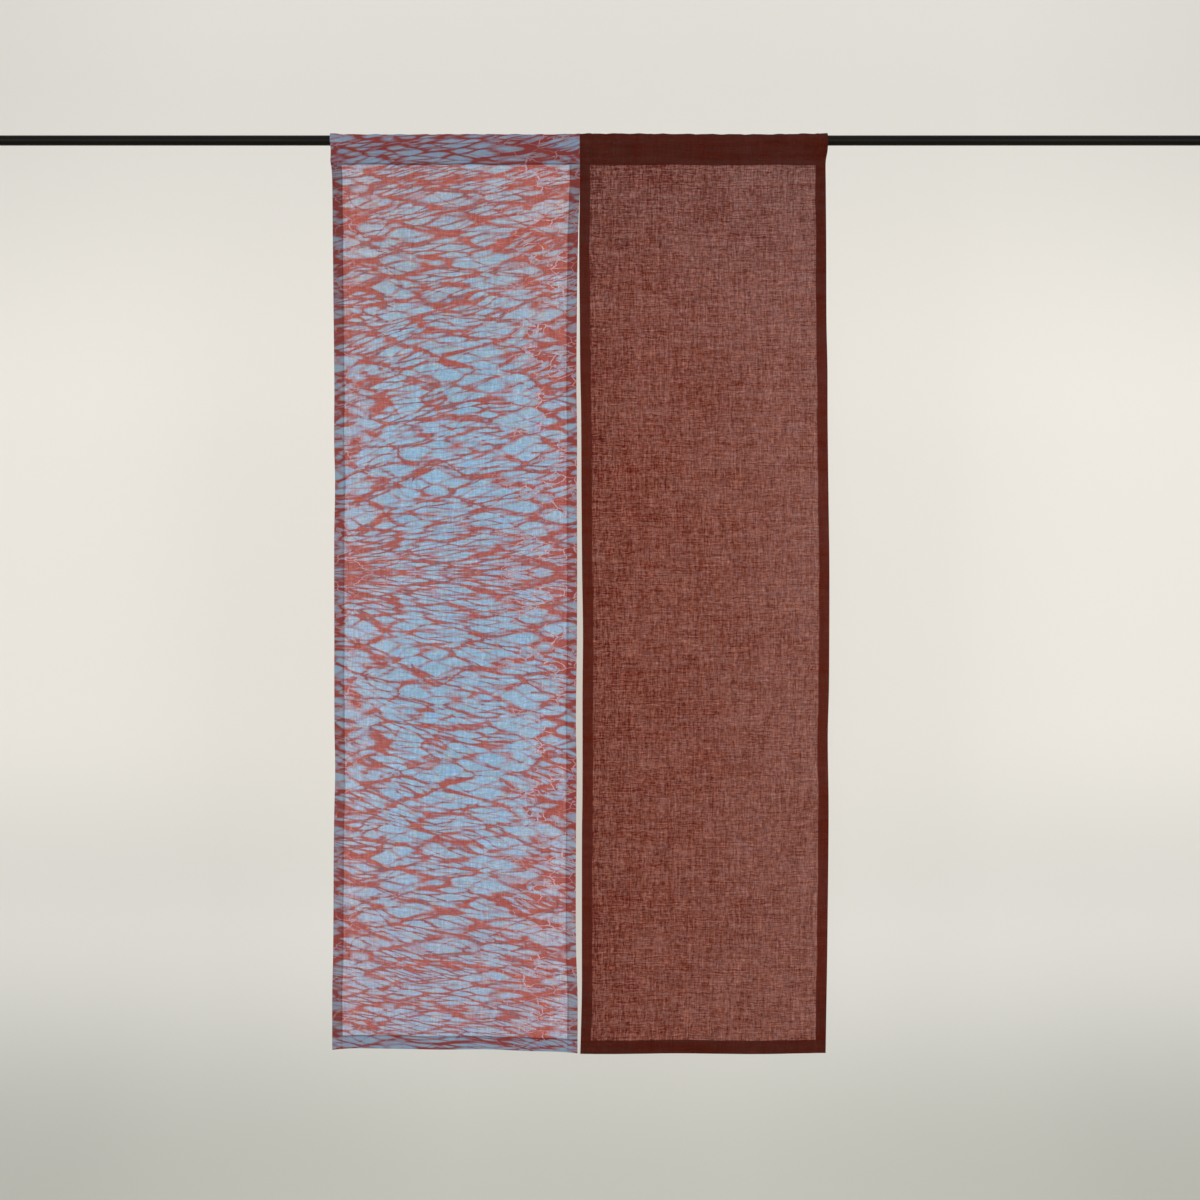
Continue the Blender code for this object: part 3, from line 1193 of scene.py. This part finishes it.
@dataclass
class ClothPanel:
    """One length of linen with a rod pocket at its top and turned hems.

    Attributes:
        cut: The panel's sizes.
        ply: Thickness of the linen.
        pitch: Distance between plies that lie on each other.
        face: Distance of the middle of the front ply ahead of the frame's plane.
        side_hem: Width of the side hems.
        lower_hem: Depth of the lower hem.
        pocket: Radius of the pocket to the middle of the ply nearest the rod.
        stitch_drop: Drop of the heading's stitch line.
        flap_below: How far the flap reaches below that line.
        seam_inset: How far inside a hem's inner edge its stitches run.
        settled: How far below the stitch line the small waves have their full height.
    """

    cut: PanelCut
    ply: float = 0.5
    pitch: float = 0.6
    face: float = 0.95
    side_hem: float = 17.0
    lower_hem: float = 22.0
    pocket: float = 8.8
    stitch_drop: float = 39.0
    flap_below: float = 1.5
    seam_inset: float = 1.5
    settled: float = 120.0

    # Lines of the mesh

    def columns(self) -> list[Column]:
        """List the columns of the mesh.

        Returns:
            The columns from the left hem's edge behind, over the face, to the right hem's edge behind.
        """
        hem, fold = self.side_hem, 0.5 * self.pitch
        left = [Column(Side.LEFT, hem * share, 1.0) for share in (1.0, 0.93, 0.7, 0.45, 0.22, 0.08)]
        for angle in (math.pi * i / 6 for i in range(7)):
            left.append(Column(Side.LEFT, fold * (1.0 - math.sin(angle)), 0.5 * (1.0 + math.cos(angle))))
        front = (0.08, 0.22, 0.45, 0.7, 0.84, 0.91, 0.97, 1.0)
        left += [Column(Side.LEFT, hem * share) for share in front]
        right = [Column(Side.RIGHT, one.amount, one.behind) for one in reversed(left)]
        near = (0.0018, 0.006, 0.014)
        even = (0.014 + 0.018 * i for i in range(1, 54))
        shares = (*near, *even, *(1.0 - share for share in reversed(near)))
        return left + [Column(Side.BETWEEN, share) for share in shares] + right

    def rows(self) -> list[Row]:
        """List the rows of the mesh.

        Returns:
            The rows from the flap's edge over the rod and down to the lower hem's edge.
        """
        tight = (0.06, 0.15, 0.25, 0.35, 0.45, 0.55, 0.65, 0.75, 0.85, 0.93, 0.975)
        start, end = (0.0, 0.0007, 0.0011, 0.0018, 0.0035), (0.9965, 0.9988, 1.0)
        shares = {
            Part.FLAP: (1.0, *reversed(tight)),
            Part.OVER: (i / 20 for i in range(21)),
            Part.FALL: tight,
            Part.BODY: (*start, *(0.0035 + 0.993 * i / 178 for i in range(1, 178)), *end),
            Part.HEM: (0.02, 0.07, 0.15, 0.35, 0.6, 0.85, 1.0),
            Part.TURN: (0.25, 0.5, 0.75),
            Part.RETURN: (0.0, 0.2, 0.5, 0.8, 0.94, 1.0),
        }
        return [Row(part, share) for part, places in shares.items() for share in places]

    # Places on the cloth

    @property
    def clear(self) -> float:
        """Flat width between the side hems."""
        return self.cut.width - 2 * self.side_hem

    def wave(self, kind: Wave, place: float) -> float:
        """Height of one of the panel's small waves at a place."""
        return kind.value.at(place, self.cut.seed)

    def edges_at(self, drop: float) -> Pair:
        """X of the two side edges at a drop."""
        left, right = (read_table(self.cut.edges, side, drop) for side in ("left", "right"))
        return self.cut.left + left, self.cut.right + right

    def place_at(self, column: Column, drop: float) -> Pair:
        """Find a column's place along the rod at a drop.

        Args:
            column: The column.
            drop: The drop.

        Returns:
            Its X and its across value.
        """
        left, right = self.edges_at(drop)
        left_hem, right_hem = (self.side_hem + self.wave(Wave.HEM_SWAY, drop + on) for on in (0.0, 400.0))
        if column.side is Side.LEFT:
            place = left + column.amount * left_hem / self.side_hem
        elif column.side is Side.RIGHT:
            place = right - column.amount * right_hem / self.side_hem
        else:
            place = left + left_hem + column.amount * (right - left - left_hem - right_hem)
        return place, (place - left) / (right - left)

    def inset_of(self, column: Column) -> float:
        """Find a column's flat distance from the nearer side edge.

        Args:
            column: The column.

        Returns:
            The distance.
        """
        if column.side is not Side.BETWEEN:
            return column.amount
        return self.side_hem + min(column.amount, 1.0 - column.amount) * self.clear

    def stitch_line(self, across: float) -> float:
        """Drop of the heading's stitch line."""
        return self.stitch_drop + self.wave(Wave.STITCH_SWAY, across * self.cut.width)

    def lower_edge(self, across: float) -> float:
        """Drop of the lower edge."""
        return self.cut.length - read_table(self.cut.lower, "rise", across)

    def hem_line(self, across: float) -> float:
        """Drop of the lower hem's upper edge."""
        sway = 0.7 * self.wave(Wave.HEM_SWAY, across * self.cut.width)
        return self.lower_edge(across) - self.lower_hem + sway

    def from_seams(self, across: float, drop: float) -> tuple[float, float, float]:
        """Measure how far a place lies from the lines of stitches.

        Args:
            across: Place on the width.
            drop: The drop.

        Returns:
            How far it lies below the heading's line, in from the nearer side's and below the hem's.
        """
        side = min(across, 1.0 - across) * self.cut.width - self.side_hem + self.seam_inset
        lower = drop - self.hem_line(across) - self.seam_inset
        return drop - self.stitch_line(across), side, lower

    def depth_at(self, across: float, drop: float) -> float:
        """Work out the Y that swells, creases, puckers and small waves give the cloth.

        Args:
            across: Place on the width.
            drop: The drop.

        Returns:
            The depth.
        """
        cut = self.cut
        u = across * cut.width
        depth = 0.0
        for fold in cut.folds:
            grown = smoothstep(fold.start, fold.full, drop)
            depth += fold.depth * bell(u - fold.across * cut.width, fold.reach) * grown
        for crease in cut.creases:
            below = drop - crease.drop
            along = below / (0.5 * crease.length)
            if abs(along) < 1.0:
                away = u - crease.across * cut.width - crease.lean * below
                depth += crease.depth * bell(away, crease.reach) * (1.0 - along * along) ** 2

        heading, side, lower = (kind.value for kind in SeamKind)
        from_heading, from_side, from_lower = self.from_seams(across, drop)
        free = smoothstep(self.stitch_drop, self.stitch_drop + self.settled, drop)
        depth += free * self.wave(Wave.FLUTTER, u + 12.0 * self.wave(Wave.LONG_FLUTTER, drop))
        depth += free * 0.5 * self.wave(Wave.LONG_FLUTTER, drop + 0.6 * u)
        puckered = self.wave(Wave.SIDE_PUCKER, drop + (0.0 if across < 0.5 else 70.0))
        depth += free * bell(from_side, side.puckers) * puckered
        depth += bell(drop - self.stitch_drop, heading.puckers) * self.wave(Wave.ACROSS_PUCKER, u)
        puckered = self.wave(Wave.ACROSS_PUCKER, u + 57.0)
        depth += bell(from_lower + self.seam_inset, lower.puckers) * puckered

        depth += side.depth * bell(from_side, side.dent) * free
        depth += heading.depth * bell(from_heading, heading.dent)
        return depth + lower.depth * bell(from_lower, lower.dent)

    def seam_at(self, across: float, drop: float) -> float:
        """Work out how near a line of stitches a place lies.

        Args:
            across: Place on the width.
            drop: The drop.

        Returns:
            1 on a line, falling to 0 beside it; less on the hems' lines than on the heading's.
        """
        above, aside, below = self.from_seams(across, drop)
        heading, side, lower = (
            kind.value.strength * bell(away, kind.value.shade)
            for kind, away in zip(SeamKind, (above + 0.8, aside, below))
        )
        return max(heading, lower, side if drop > self.stitch_drop else 0.0)

    def over_point(self, column: Column, share: float, heaped: float, plies: float) -> ClothPoint:
        """Find a point of the heading where it lies over the rod.

        Args:
            column: The column.
            share: How far round the rod it is, from the back.
            heaped: How far the side hem lifts it, from 0 to 1.
            plies: How many plies lie there.

        Returns:
            The point.
        """
        place, across = self.place_at(column, 0.0)
        lift = read_table(self.cut.slack, "lift", across) + Wave.OVER_PUCKER.value.height
        lift += self.wave(Wave.OVER_PUCKER, across * self.cut.width)
        radius = self.pocket + self.pitch * (heaped - column.behind)
        angle = math.pi * share
        y, z = radius * math.cos(angle), (radius + lift) * math.sin(angle)
        return ClothPoint(place, y, z, math.pi * self.pocket * (1.0 - share), plies)

    def heading_point(self, column: Column, row: Row, heaped: float, plies: float) -> ClothPoint:
        """Find a point of the heading's flap or front.

        Args:
            column: The column.
            row: The row.
            heaped: How far the side hem lifts it, from 0 to 1.
            plies: How many plies lie there.

        Returns:
            The point.
        """
        inner = self.pitch * column.behind
        line = self.stitch_line(self.place_at(column, self.stitch_drop)[1])
        drop = (line + (self.flap_below if row.part is Part.FLAP else 0.0)) * row.share
        place, across = self.place_at(column, drop)
        bulge = self.pocket * (1.0 - smoothstep(0.0, 1.0, drop / line))
        bulge += self.pitch * heaped * (1.0 - row.share)
        near = self.depth_at(across, drop) * smoothstep(0.3, 1.0, row.share)
        if row.part is Part.FALL:
            y = near - bulge - self.face * row.share + inner
            return ClothPoint(place, y, -drop, -drop, plies, self.seam_at(across, drop))
        stacked = self.pitch * (1.0 + 2.0 * heaped) - self.face
        y = near + bulge + stacked * row.share - inner
        return ClothPoint(place, y, -drop, math.pi * self.pocket + drop, plies)

    def point(self, column: Column, row: Row) -> ClothPoint:
        """Find a point of the middle of the cloth.

        Args:
            column: The column.
            row: The row.

        Returns:
            The point and what the cloth is like there.
        """
        inset, inner = self.inset_of(column), self.pitch * column.behind
        hemmed = 1.0 if inset < self.side_hem - 0.3 or column.behind > 0.0 else 0.0
        thick = HEADING_PLIES + hemmed
        heaped = smoothstep(self.side_hem + 2.5, self.side_hem - 0.6, inset)
        if row.part is Part.OVER:
            return self.over_point(column, row.share, heaped, thick)
        if row.part in (Part.FLAP, Part.FALL):
            return self.heading_point(column, row, heaped, thick)

        line = self.stitch_line(self.place_at(column, self.stitch_drop)[1])
        across = self.place_at(column, self.cut.length)[1]
        stack = self.pitch * (1.0 + 2.0 * smoothstep(self.side_hem + 10.0, self.side_hem, inset))
        bottom, hem_top = self.lower_edge(across) - 0.5 * stack, self.hem_line(across)
        behind, plies = inner, thick
        if row.part is Part.BODY:
            drop = line + row.share * (hem_top - line)
            plies = thick if drop < line + self.flap_below else 1.0 + hemmed
        elif row.part is Part.HEM:
            drop = hem_top + row.share * (bottom - hem_top)
        elif row.part is Part.TURN:
            angle, half = math.pi * row.share, 0.5 * stack - inner
            behind, drop = inner + half * (1.0 - math.cos(angle)), bottom + half * math.sin(angle)
        else:
            behind, drop = stack - inner, bottom - row.share * (bottom - hem_top)
        place, across = self.place_at(column, drop)
        along = drop - 2.0 * bottom if row.part is Part.RETURN else -drop
        y = self.depth_at(across, drop) - self.face + behind
        return ClothPoint(place, y, -drop, along, plies, self.seam_at(across, drop))

    def cut_place(self, column: Column) -> float:
        """Find a column's place across the flat cut.

        Args:
            column: The column.

        Returns:
            Its place, which lies outside 0 and the width on the turned hems.
        """
        if column.side is Side.BETWEEN:
            return self.side_hem + column.amount * self.clear
        inset = -column.amount if column.behind > 0.5 else column.amount
        return inset if column.side is Side.LEFT else self.cut.width - inset

    # Pieces

    def build(self, material: bpy.types.Material) -> bpy.types.Object:
        """Build the panel's cloth as one thin sheet.

        Args:
            material: Its finish.

        Returns:
            The finished piece.
        """
        bm = bmesh.new()
        plies, seam = (bm.verts.layers.float.new(name) for name in (PLIES, SEAM))
        flat = bm.loops.layers.uv.new(CLOTH_MAP)
        net: list[list[bmesh.types.BMVert]] = []
        spots: dict[bmesh.types.BMVert, Pair] = {}
        for column in self.columns():
            net.append([])
            for row in self.rows():
                found = self.point(column, row)
                vert = bm.verts.new((found.x * MM, found.y * MM, found.z * MM))
                vert[plies], vert[seam] = found.plies, found.seam
                spots[vert] = (self.cut_place(column) * MM, found.along * MM)
                net[-1].append(vert)
        for one, other in zip(net, net[1:]):
            for i in range(len(one) - 1):
                face = bm.faces.new((one[i], one[i + 1], other[i + 1], other[i]))
                for loop in face.loops:
                    loop[flat].uv = spots[loop.vert]
        mesh = bpy.data.meshes.new(self.cut.name)
        bm.to_mesh(mesh)
        bm.free()
        piece = add_piece(mesh, material)
        wall = piece.modifiers.new("ply", "SOLIDIFY")
        wall.thickness, wall.offset = self.ply * MM, 0.0
        bpy.ops.object.modifier_apply(modifier=wall.name)
        bpy.ops.object.shade_smooth_by_angle(angle=math.radians(50))
        return piece

    @property
    def flat_size(self) -> Pair:
        """Size of the cut before it was hemmed and hung.

        Returns:
            Its width and its length, in metres.
        """
        cut, half_turn = self.cut, math.pi * self.pocket
        length = cut.length + self.lower_hem + half_turn + self.stitch_drop + self.flap_below
        return (cut.width + 2 * self.side_hem) * MM, length * MM


@dataclass
class Stitching:
    """The running stitches that hold a panel's hems and its heading.

    Attributes:
        panel: The panel.
        pitch: Distance from one stitch to the next.
        length: Length of the thread that shows in a stitch.
        thread: Diameter of the thread.
        start: How far below the heading's line the side hems' stitches start.
        end: How far above the lower edge they end.
    """

    panel: ClothPanel
    pitch: float = 3.6
    length: float = 2.5
    thread: float = 0.36
    start: float = 4.0
    end: float = 3.0

    def model_stitch(self) -> tuple[np.ndarray, list[tuple[int, ...]]]:
        """Model one stitch along +X: a short thread whose ends dive into the cloth.

        Returns:
            Its points in millimetres and its faces.
        """
        deselect_all()
        bpy.ops.mesh.primitive_cylinder_add(
            vertices=6, radius=0.5 * self.thread, depth=0.5 * self.length, end_fill_type="NGON"
        )
        stitch = bpy.context.object
        stitch.rotation_euler = (0.0, math.pi / 2, 0.0)
        settle(stitch, "stitch")
        for end in (-1.0, 1.0):
            select_only(stitch)
            bpy.ops.object.mode_set(mode="EDIT")
            bpy.ops.mesh.select_mode(type="FACE")
            bm = bmesh.from_edit_mesh(stitch.data)
            for face in bm.faces:
                face.select_set(face.normal.x * end > 0.9)
            bmesh.update_edit_mesh(stitch.data)
            step = (end * 0.25 * self.length, 0.0, -0.8 * self.thread)
            bpy.ops.mesh.extrude_region_move(TRANSFORM_OT_translate={"value": step})
            bpy.ops.transform.resize(value=(0.6, 0.6, 0.6))
            bpy.ops.object.mode_set(mode="OBJECT")
        spent = stitch.data
        points = np.array([vert.co for vert in spent.vertices])
        faces = [tuple(face.vertices) for face in spent.polygons]
        bpy.data.objects.remove(stitch, do_unlink=True)
        bpy.data.meshes.remove(spent)
        return points, faces

    def surface(self, across: float, drop: float, back: bool) -> Vector:
        """Find a point on the cloth's outer surface.

        Args:
            across: Place on the width.
            drop: The drop.
            back: Whether the far surface is meant, which is that of a turned hem.

        Returns:
            The point, in millimetres.
        """
        panel = self.panel
        left, right = panel.edges_at(drop)
        reach = panel.pitch + 0.5 * panel.ply if back else -0.5 * panel.ply
        x = left + across * (right - left)
        return Vector((x, panel.depth_at(across, drop) + reach - panel.face, -drop))

    def runs(self) -> Iterator[tuple[Callable[[float], Pair], float]]:
        """Give the runs of stitches.

        Yields:
            A run's path over across and drop, for a share from 0 to 1, and its length.
        """
        panel = self.panel
        width = panel.cut.width
        inset = (panel.side_hem - panel.seam_inset) / width
        top = panel.stitch_drop + self.start
        length = panel.cut.length - 2.0 - top

        def down(at: float) -> Callable[[float], Pair]:
            """Path of a side hem's stitches."""
            return lambda s: (at, top + s * (panel.lower_edge(at) - self.end - top))

        yield down(inset), length
        yield down(1.0 - inset), length
        yield lambda s: (0.008 + 0.984 * s, panel.stitch_line(s) - 0.3), width
        yield lambda s: (0.05 + 0.9 * s, panel.hem_line(0.05 + 0.9 * s) + panel.seam_inset), 0.9 * width

    def build(self, name: str, material: bpy.types.Material) -> bpy.types.Object:
        """Build all stitches of the panel as one piece.

        Args:
            name: The piece's name.
            material: Its finish.

        Returns:
            The finished piece.
        """
        shape, shape_faces = self.model_stitch()
        points: list[np.ndarray] = []
        faces: list[tuple[int, ...]] = []
        for path, length in self.runs():
            count = int(length / self.pitch)
            reach = 0.3 * self.pitch / length
            for i, back in ((i, back) for i in range(count) for back in (False, True)):
                middle = (i + (0.75 if back else 0.25)) / count
                ends = (min(middle + reach, 1.0), max(middle - reach, 0.0))
                here, ahead, behind = (self.surface(*path(s), back) for s in (middle, *ends))
                run = (ahead - behind).normalized()
                side = Vector((0.0, 1.0 if back else -1.0, 0.0)).cross(run).normalized()
                turn = np.array((run, side, run.cross(side)))
                start = len(points) * len(shape)
                points.append(shape @ turn + np.array(here))
                faces += [tuple(start + corner for corner in face) for face in shape_faces]
        mesh = bpy.data.meshes.new(name)
        mesh.from_pydata(np.concatenate(points) * MM, [], faces)
        piece = add_piece(mesh, material)
        bpy.ops.object.shade_smooth()
        return piece


# ---- Rod ----


@dataclass
class CurtainRod:
    """The plain rod that both headings are threaded on.

    Attributes:
        length: Its length.
        radius: Its radius.
        rim: Width of its rounded end rims.
        sides: How many faces it has round it.
    """

    length: float = 2000.0
    radius: float = 8.2
    rim: float = 0.8
    sides: int = 96

    def build(self, material: bpy.types.Material) -> bpy.types.Object:
        """Build the rod along +X from the origin.

        Args:
            material: Its finish.

        Returns:
            The finished piece.
        """
        deselect_all()
        bpy.ops.mesh.primitive_cylinder_add(
            vertices=self.sides,
            radius=self.radius * MM,
            depth=self.length * MM,
            location=(0.5 * self.length * MM, 0.0, 0.0),
            rotation=(0.0, math.pi / 2, 0.0),
        )
        rod = bpy.context.object
        settle(rod, "black_rod")
        bpy.ops.object.mode_set(mode="EDIT")
        bpy.ops.mesh.select_mode(type="EDGE")
        pick_edges(rod.data, lambda one, other: abs(one.x - other.x) < 0.1 * MM)
        bpy.ops.mesh.bevel(offset=self.rim * MM, segments=4, affect="EDGES")
        bpy.ops.object.mode_set(mode="OBJECT")
        bpy.ops.object.shade_smooth_by_angle(angle=math.radians(40))
        rod.data.materials.clear()
        rod.data.materials.append(material)
        return rod


# ---- Studio ----


@dataclass(frozen=True)
class Softbox:
    """One soft lamp.

    Attributes:
        name: The lamp's name.
        place: Where it stands, in metres.
        aim: What it faces, in metres.
        size: Its width and height, in metres.
        power: Its power, in watts.
    """

    name: str
    place: tuple[float, float, float]
    aim: tuple[float, float, float]
    size: Pair
    power: float

    def build(self) -> None:
        """Hang the lamp."""
        bpy.ops.object.light_add(type="AREA", location=self.place)
        lamp = bpy.context.object
        lamp.name = self.name
        lamp.rotation_euler = (Vector(self.aim) - Vector(self.place)).to_track_quat("-Z", "Y").to_euler()
        lamp.data.shape = "RECTANGLE"
        lamp.data.size, lamp.data.size_y = self.size
        lamp.data.energy = self.power


class ShadeRow(NamedTuple):
    """Colour of the backdrop at a height in metres, with painted light and shade, and how much paler it
    is in the middle: above 1 a painted pool of light, below 1 a painted shadow.
    """

    height: float
    colour: Colour
    middle: float


@dataclass
class Studio:
    """Pale floor and wall with painted light and shade, soft lamps and the camera.

    Attributes:
        middle: X of the picture's middle, in metres.
        floor: Height of the floor, in metres.
        wall: Y of the wall, in metres.
        cove: Radius of the curve between them, in metres.
        shades: The backdrop's colour by height, with painted light and shade towards the floor and the
            top.
        behind: What the colour is multiplied by behind the curtain: a painted shadow.
        boxes: The lamps.
        air: Colour of the faint even light.
        air_strength: Its strength.
        eye: Y and height of the camera, in metres.
        lens: The camera's focal length, for a sensor 36 mm wide.
    """

    middle: float = 0.9992
    floor: float = -2.0
    wall: float = 1.3
    cove: float = 0.7
    shades: tuple[ShadeRow, ...] = (
        ShadeRow(-1.95, screen_colour(176, 176, 168), 1.16),
        ShadeRow(-1.45, screen_colour(214, 212, 205), 1.06),
        ShadeRow(-1.00, screen_colour(229, 225, 217), 0.95),
        ShadeRow(-0.35, screen_colour(229, 225, 217), 0.95),
        ShadeRow(0.45, screen_colour(208, 205, 198), 0.99),
    )
    behind: Colour = (0.80, 0.775, 0.765)
    boxes: tuple[Softbox, ...] = (
        Softbox("key_left", (-1.1, -3.6, -0.3), (1.0, 0.0, -0.8), (2.6, 3.0), 50.0),
        Softbox("key_right", (3.1, -3.6, -0.3), (1.0, 0.0, -0.8), (2.6, 3.0), 60.0),
        Softbox("top", (1.0, -1.0, 2.4), (1.0, 0.2, -0.7), (3.0, 1.6), 8.0),
    )
    air: Colour = (0.96, 0.97, 1.0)
    air_strength: float = 0.7
    eye: Pair = (-3.258, -0.7485)
    lens: float = 60.0

    def build_backdrop(self, material: bpy.types.Material) -> bpy.types.Object:
        """Build the floor and the wall as one sweep.

        Args:
            material: Its paint.

        Returns:
            The sweep.
        """
        deselect_all()
        bpy.ops.mesh.primitive_plane_add(size=1.0, location=(self.middle, self.wall - 4.0, self.floor))
        sweep = bpy.context.object
        sweep.scale = (10.0, 8.0, 1.0)
        settle(sweep, "backdrop")
        bpy.ops.object.mode_set(mode="EDIT")
        bpy.ops.mesh.select_mode(type="EDGE")
        at_wall, corner = self.wall - 0.01, self.floor + 0.01
        pick_edges(sweep.data, lambda one, other: min(one.y, other.y) > at_wall)
        bpy.ops.mesh.extrude_region_move(TRANSFORM_OT_translate={"value": (0.0, 0.0, 6.0)})
        pick_edges(
            sweep.data, lambda one, other: min(one.y, other.y) > at_wall and max(one.z, other.z) < corner
        )
        bpy.ops.mesh.bevel(offset=self.cove, segments=24, affect="EDGES")
        bpy.ops.object.mode_set(mode="OBJECT")
        bpy.ops.object.shade_smooth()
        sweep.data.materials.clear()
        sweep.data.materials.append(material)
        return sweep

    def backdrop_paint(self) -> bpy.types.Material:
        """Mix the backdrop's paint, with painted light and shade, a painted shadow and a painted glow.

        Returns:
            The material, which lets a camera behind the wall see through it.
        """
        material, w, shader = new_material("backdrop paint")
        across, _, height = w.make("ShaderNodeTexCoord", "Object").parts()
        away = abs(across - self.middle)
        # Painted light and shade: darker towards the floor and the top, paler low in the middle, darker
        # at mid height there, and dimmer towards the sides.
        colour: Feed = self.shades[0].colour
        middle_light_and_shade: Feed = self.shades[0].middle
        for below, above in zip(self.shades, self.shades[1:]):
            climb = height.ramp(below.height, above.height, soft=True)
            colour = w.blend(climb, colour, above.colour)
            middle_light_and_shade = climb.ramp(0.0, 1.0, middle_light_and_shade, above.middle)
        # Painted shadow of the curtain on the wall behind it.
        painted_shadow = away.ramp(0.6, 0.15, soft=True) * height.ramp(-1.85, -1.45, soft=True)
        painted_shadow *= height.ramp(0.15, -0.35, soft=True)
        colour *= away.ramp(0.3, 1.1, middle_light_and_shade, 1.0) * away.ramp(0.9, 1.5, 1.0, 0.93)
        colour = w.blend(painted_shadow, colour, colour * self.behind)
        w.dress(shader, Base_Color=colour, Roughness=1.0, Specular_IOR_Level=0.0)
        # Painted light: the backdrop glows with a quarter of its own colour, which evens it out and
        # lights the curtain a little from behind.
        w.dress(shader, Emission_Color=colour, Emission_Strength=0.25)
        seen = w.make("ShaderNodeLightPath", "Is Camera Ray")
        mix = w.add("ShaderNodeMixShader", seen * w.make("ShaderNodeNewGeometry", "Backfacing"))
        surface = material.node_tree.nodes["Material Output"].inputs["Surface"]
        clear = w.add("ShaderNodeBsdfTransparent")
        for node, socket in ((shader, mix.inputs[1]), (clear, mix.inputs[2]), (mix, surface)):
            w.tree.links.new(node.outputs[0], socket)
        return material

    def build_camera(self) -> None:
        """Set up the camera, level and square to the curtain."""
        bpy.ops.object.camera_add(location=(self.middle, *self.eye), rotation=(math.pi / 2, 0.0, 0.0))
        camera = bpy.context.object
        camera.data.lens, camera.data.sensor_width = self.lens, 36.0
        camera.data.dof.use_dof = False
        bpy.context.scene.camera = camera

    def build_world(self) -> None:
        """Fill the room with faint even light."""
        world = bpy.data.worlds.new("studio air")
        world.use_nodes = True
        air = world.node_tree.nodes["Background"]
        air.inputs["Color"].default_value = (*self.air, 1.0)
        air.inputs["Strength"].default_value = self.air_strength
        bpy.context.scene.world = world

    def build(self) -> None:
        """Build the whole studio."""
        self.build_backdrop(self.backdrop_paint())
        for box in self.boxes:
            box.build()
        self.build_world()
        self.build_camera()
        bpy.context.scene.view_settings.view_transform = "Standard"


# ---- The curtain ----

SEAM_PLACE = 966.3
SEAM_GAP = 0.3

PATTERNED = PanelCut(
    name="linen_patterned",
    node="panel_patterned",
    slot="panel_patterned",
    left=559.4,
    right=SEAM_PLACE - SEAM_GAP / 2,
    edges=PATTERNED_EDGES,
    lower=PATTERNED_LOWER,
    slack=PATTERNED_SLACK,
    folds=PATTERNED_FOLDS,
    creases=PATTERNED_CREASES,
    seed=0.4,
)
PLAIN = PanelCut(
    name="linen_plain",
    node="panel_plain",
    slot="panel_plain",
    left=SEAM_PLACE + SEAM_GAP / 2,
    right=1369.3,
    edges=PLAIN_EDGES,
    lower=PLAIN_LOWER,
    slack=PLAIN_SLACK,
    folds=PLAIN_FOLDS,
    creases=PLAIN_CREASES,
    seed=2.9,
)
PATTERNED_LINEN = DyedLinenFinish(
    name="ripple-dyed linen",
    single=screen_colour(156, 80, 75),
    folded=screen_colour(122, 54, 52),
    mottle=0.55,
    pale_single=screen_colour(136, 168, 193),
    pale_folded=screen_colour(123, 147, 168),
    hairline=screen_colour(190, 176, 190),
    ink=screen_colour(112, 72, 78),
    dimmed=-0.05,
    lower_light=0.10,
    hem_tint=(0.98, 0.94, 0.90),
    right_hem_painted_light=0.11,
    seam_shade=0.5,
)
PLAIN_LINEN = LinenFinish(
    name="red-brown linen",
    single=screen_colour(116, 60, 48),
    folded=screen_colour(71, 26, 16),
    mottle=1.0,
    glow=0.065,
    right_painted_light=0.9,
    faded=0.25,
    dimmed=0.13,
    hem_tint=(1.02, 0.76, 0.64),
    seam_shade=0.06,
)
MAROON_THREAD = ThreadFinish("maroon thread", screen_colour(74, 40, 44))
DARK_RED_THREAD = ThreadFinish("dark red thread", screen_colour(62, 26, 20))
BLACK_PAINT = RodFinish("black satin paint", (0.0038, 0.0030, 0.0018))


def hang(
    panel: ClothPanel,
    finish: LinenFinish,
    weave: bpy.types.NodeTree,
    thread: ThreadFinish,
) -> None:
    """Build one panel with its stitches, and hang it on the rod.

    Args:
        panel: The panel.
        finish: Its linen.
        weave: The weave's node group.
        thread: Its sewing thread.
    """
    cloth = panel.build(finish.build(weave))
    stitches = Stitching(panel).build(cloth.name + "_stitches", thread.build())
    for piece in (cloth, stitches):
        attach(piece, "root")
        LOG.info("%s: %d faces", piece.name, len(piece.data.polygons))
    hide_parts(panel.cut.node)
    panel.flat_size


def main() -> None:
    """Build the rod, the two panels and the studio."""
    logging.basicConfig(level=logging.INFO, format="%(name)s: %(message)s")
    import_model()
    rod = CurtainRod().build(BLACK_PAINT.build())
    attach(rod, "root")
    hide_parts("rod")
    LOG.info("%s: %d faces", rod.name, len(rod.data.polygons))
    weave = LinenWeave().build()
    hang(ClothPanel(PATTERNED), PATTERNED_LINEN, weave, MAROON_THREAD)
    hang(ClothPanel(PLAIN), PLAIN_LINEN, weave, DARK_RED_THREAD)
    Studio().build()


if __name__ == "__main__":
    main()
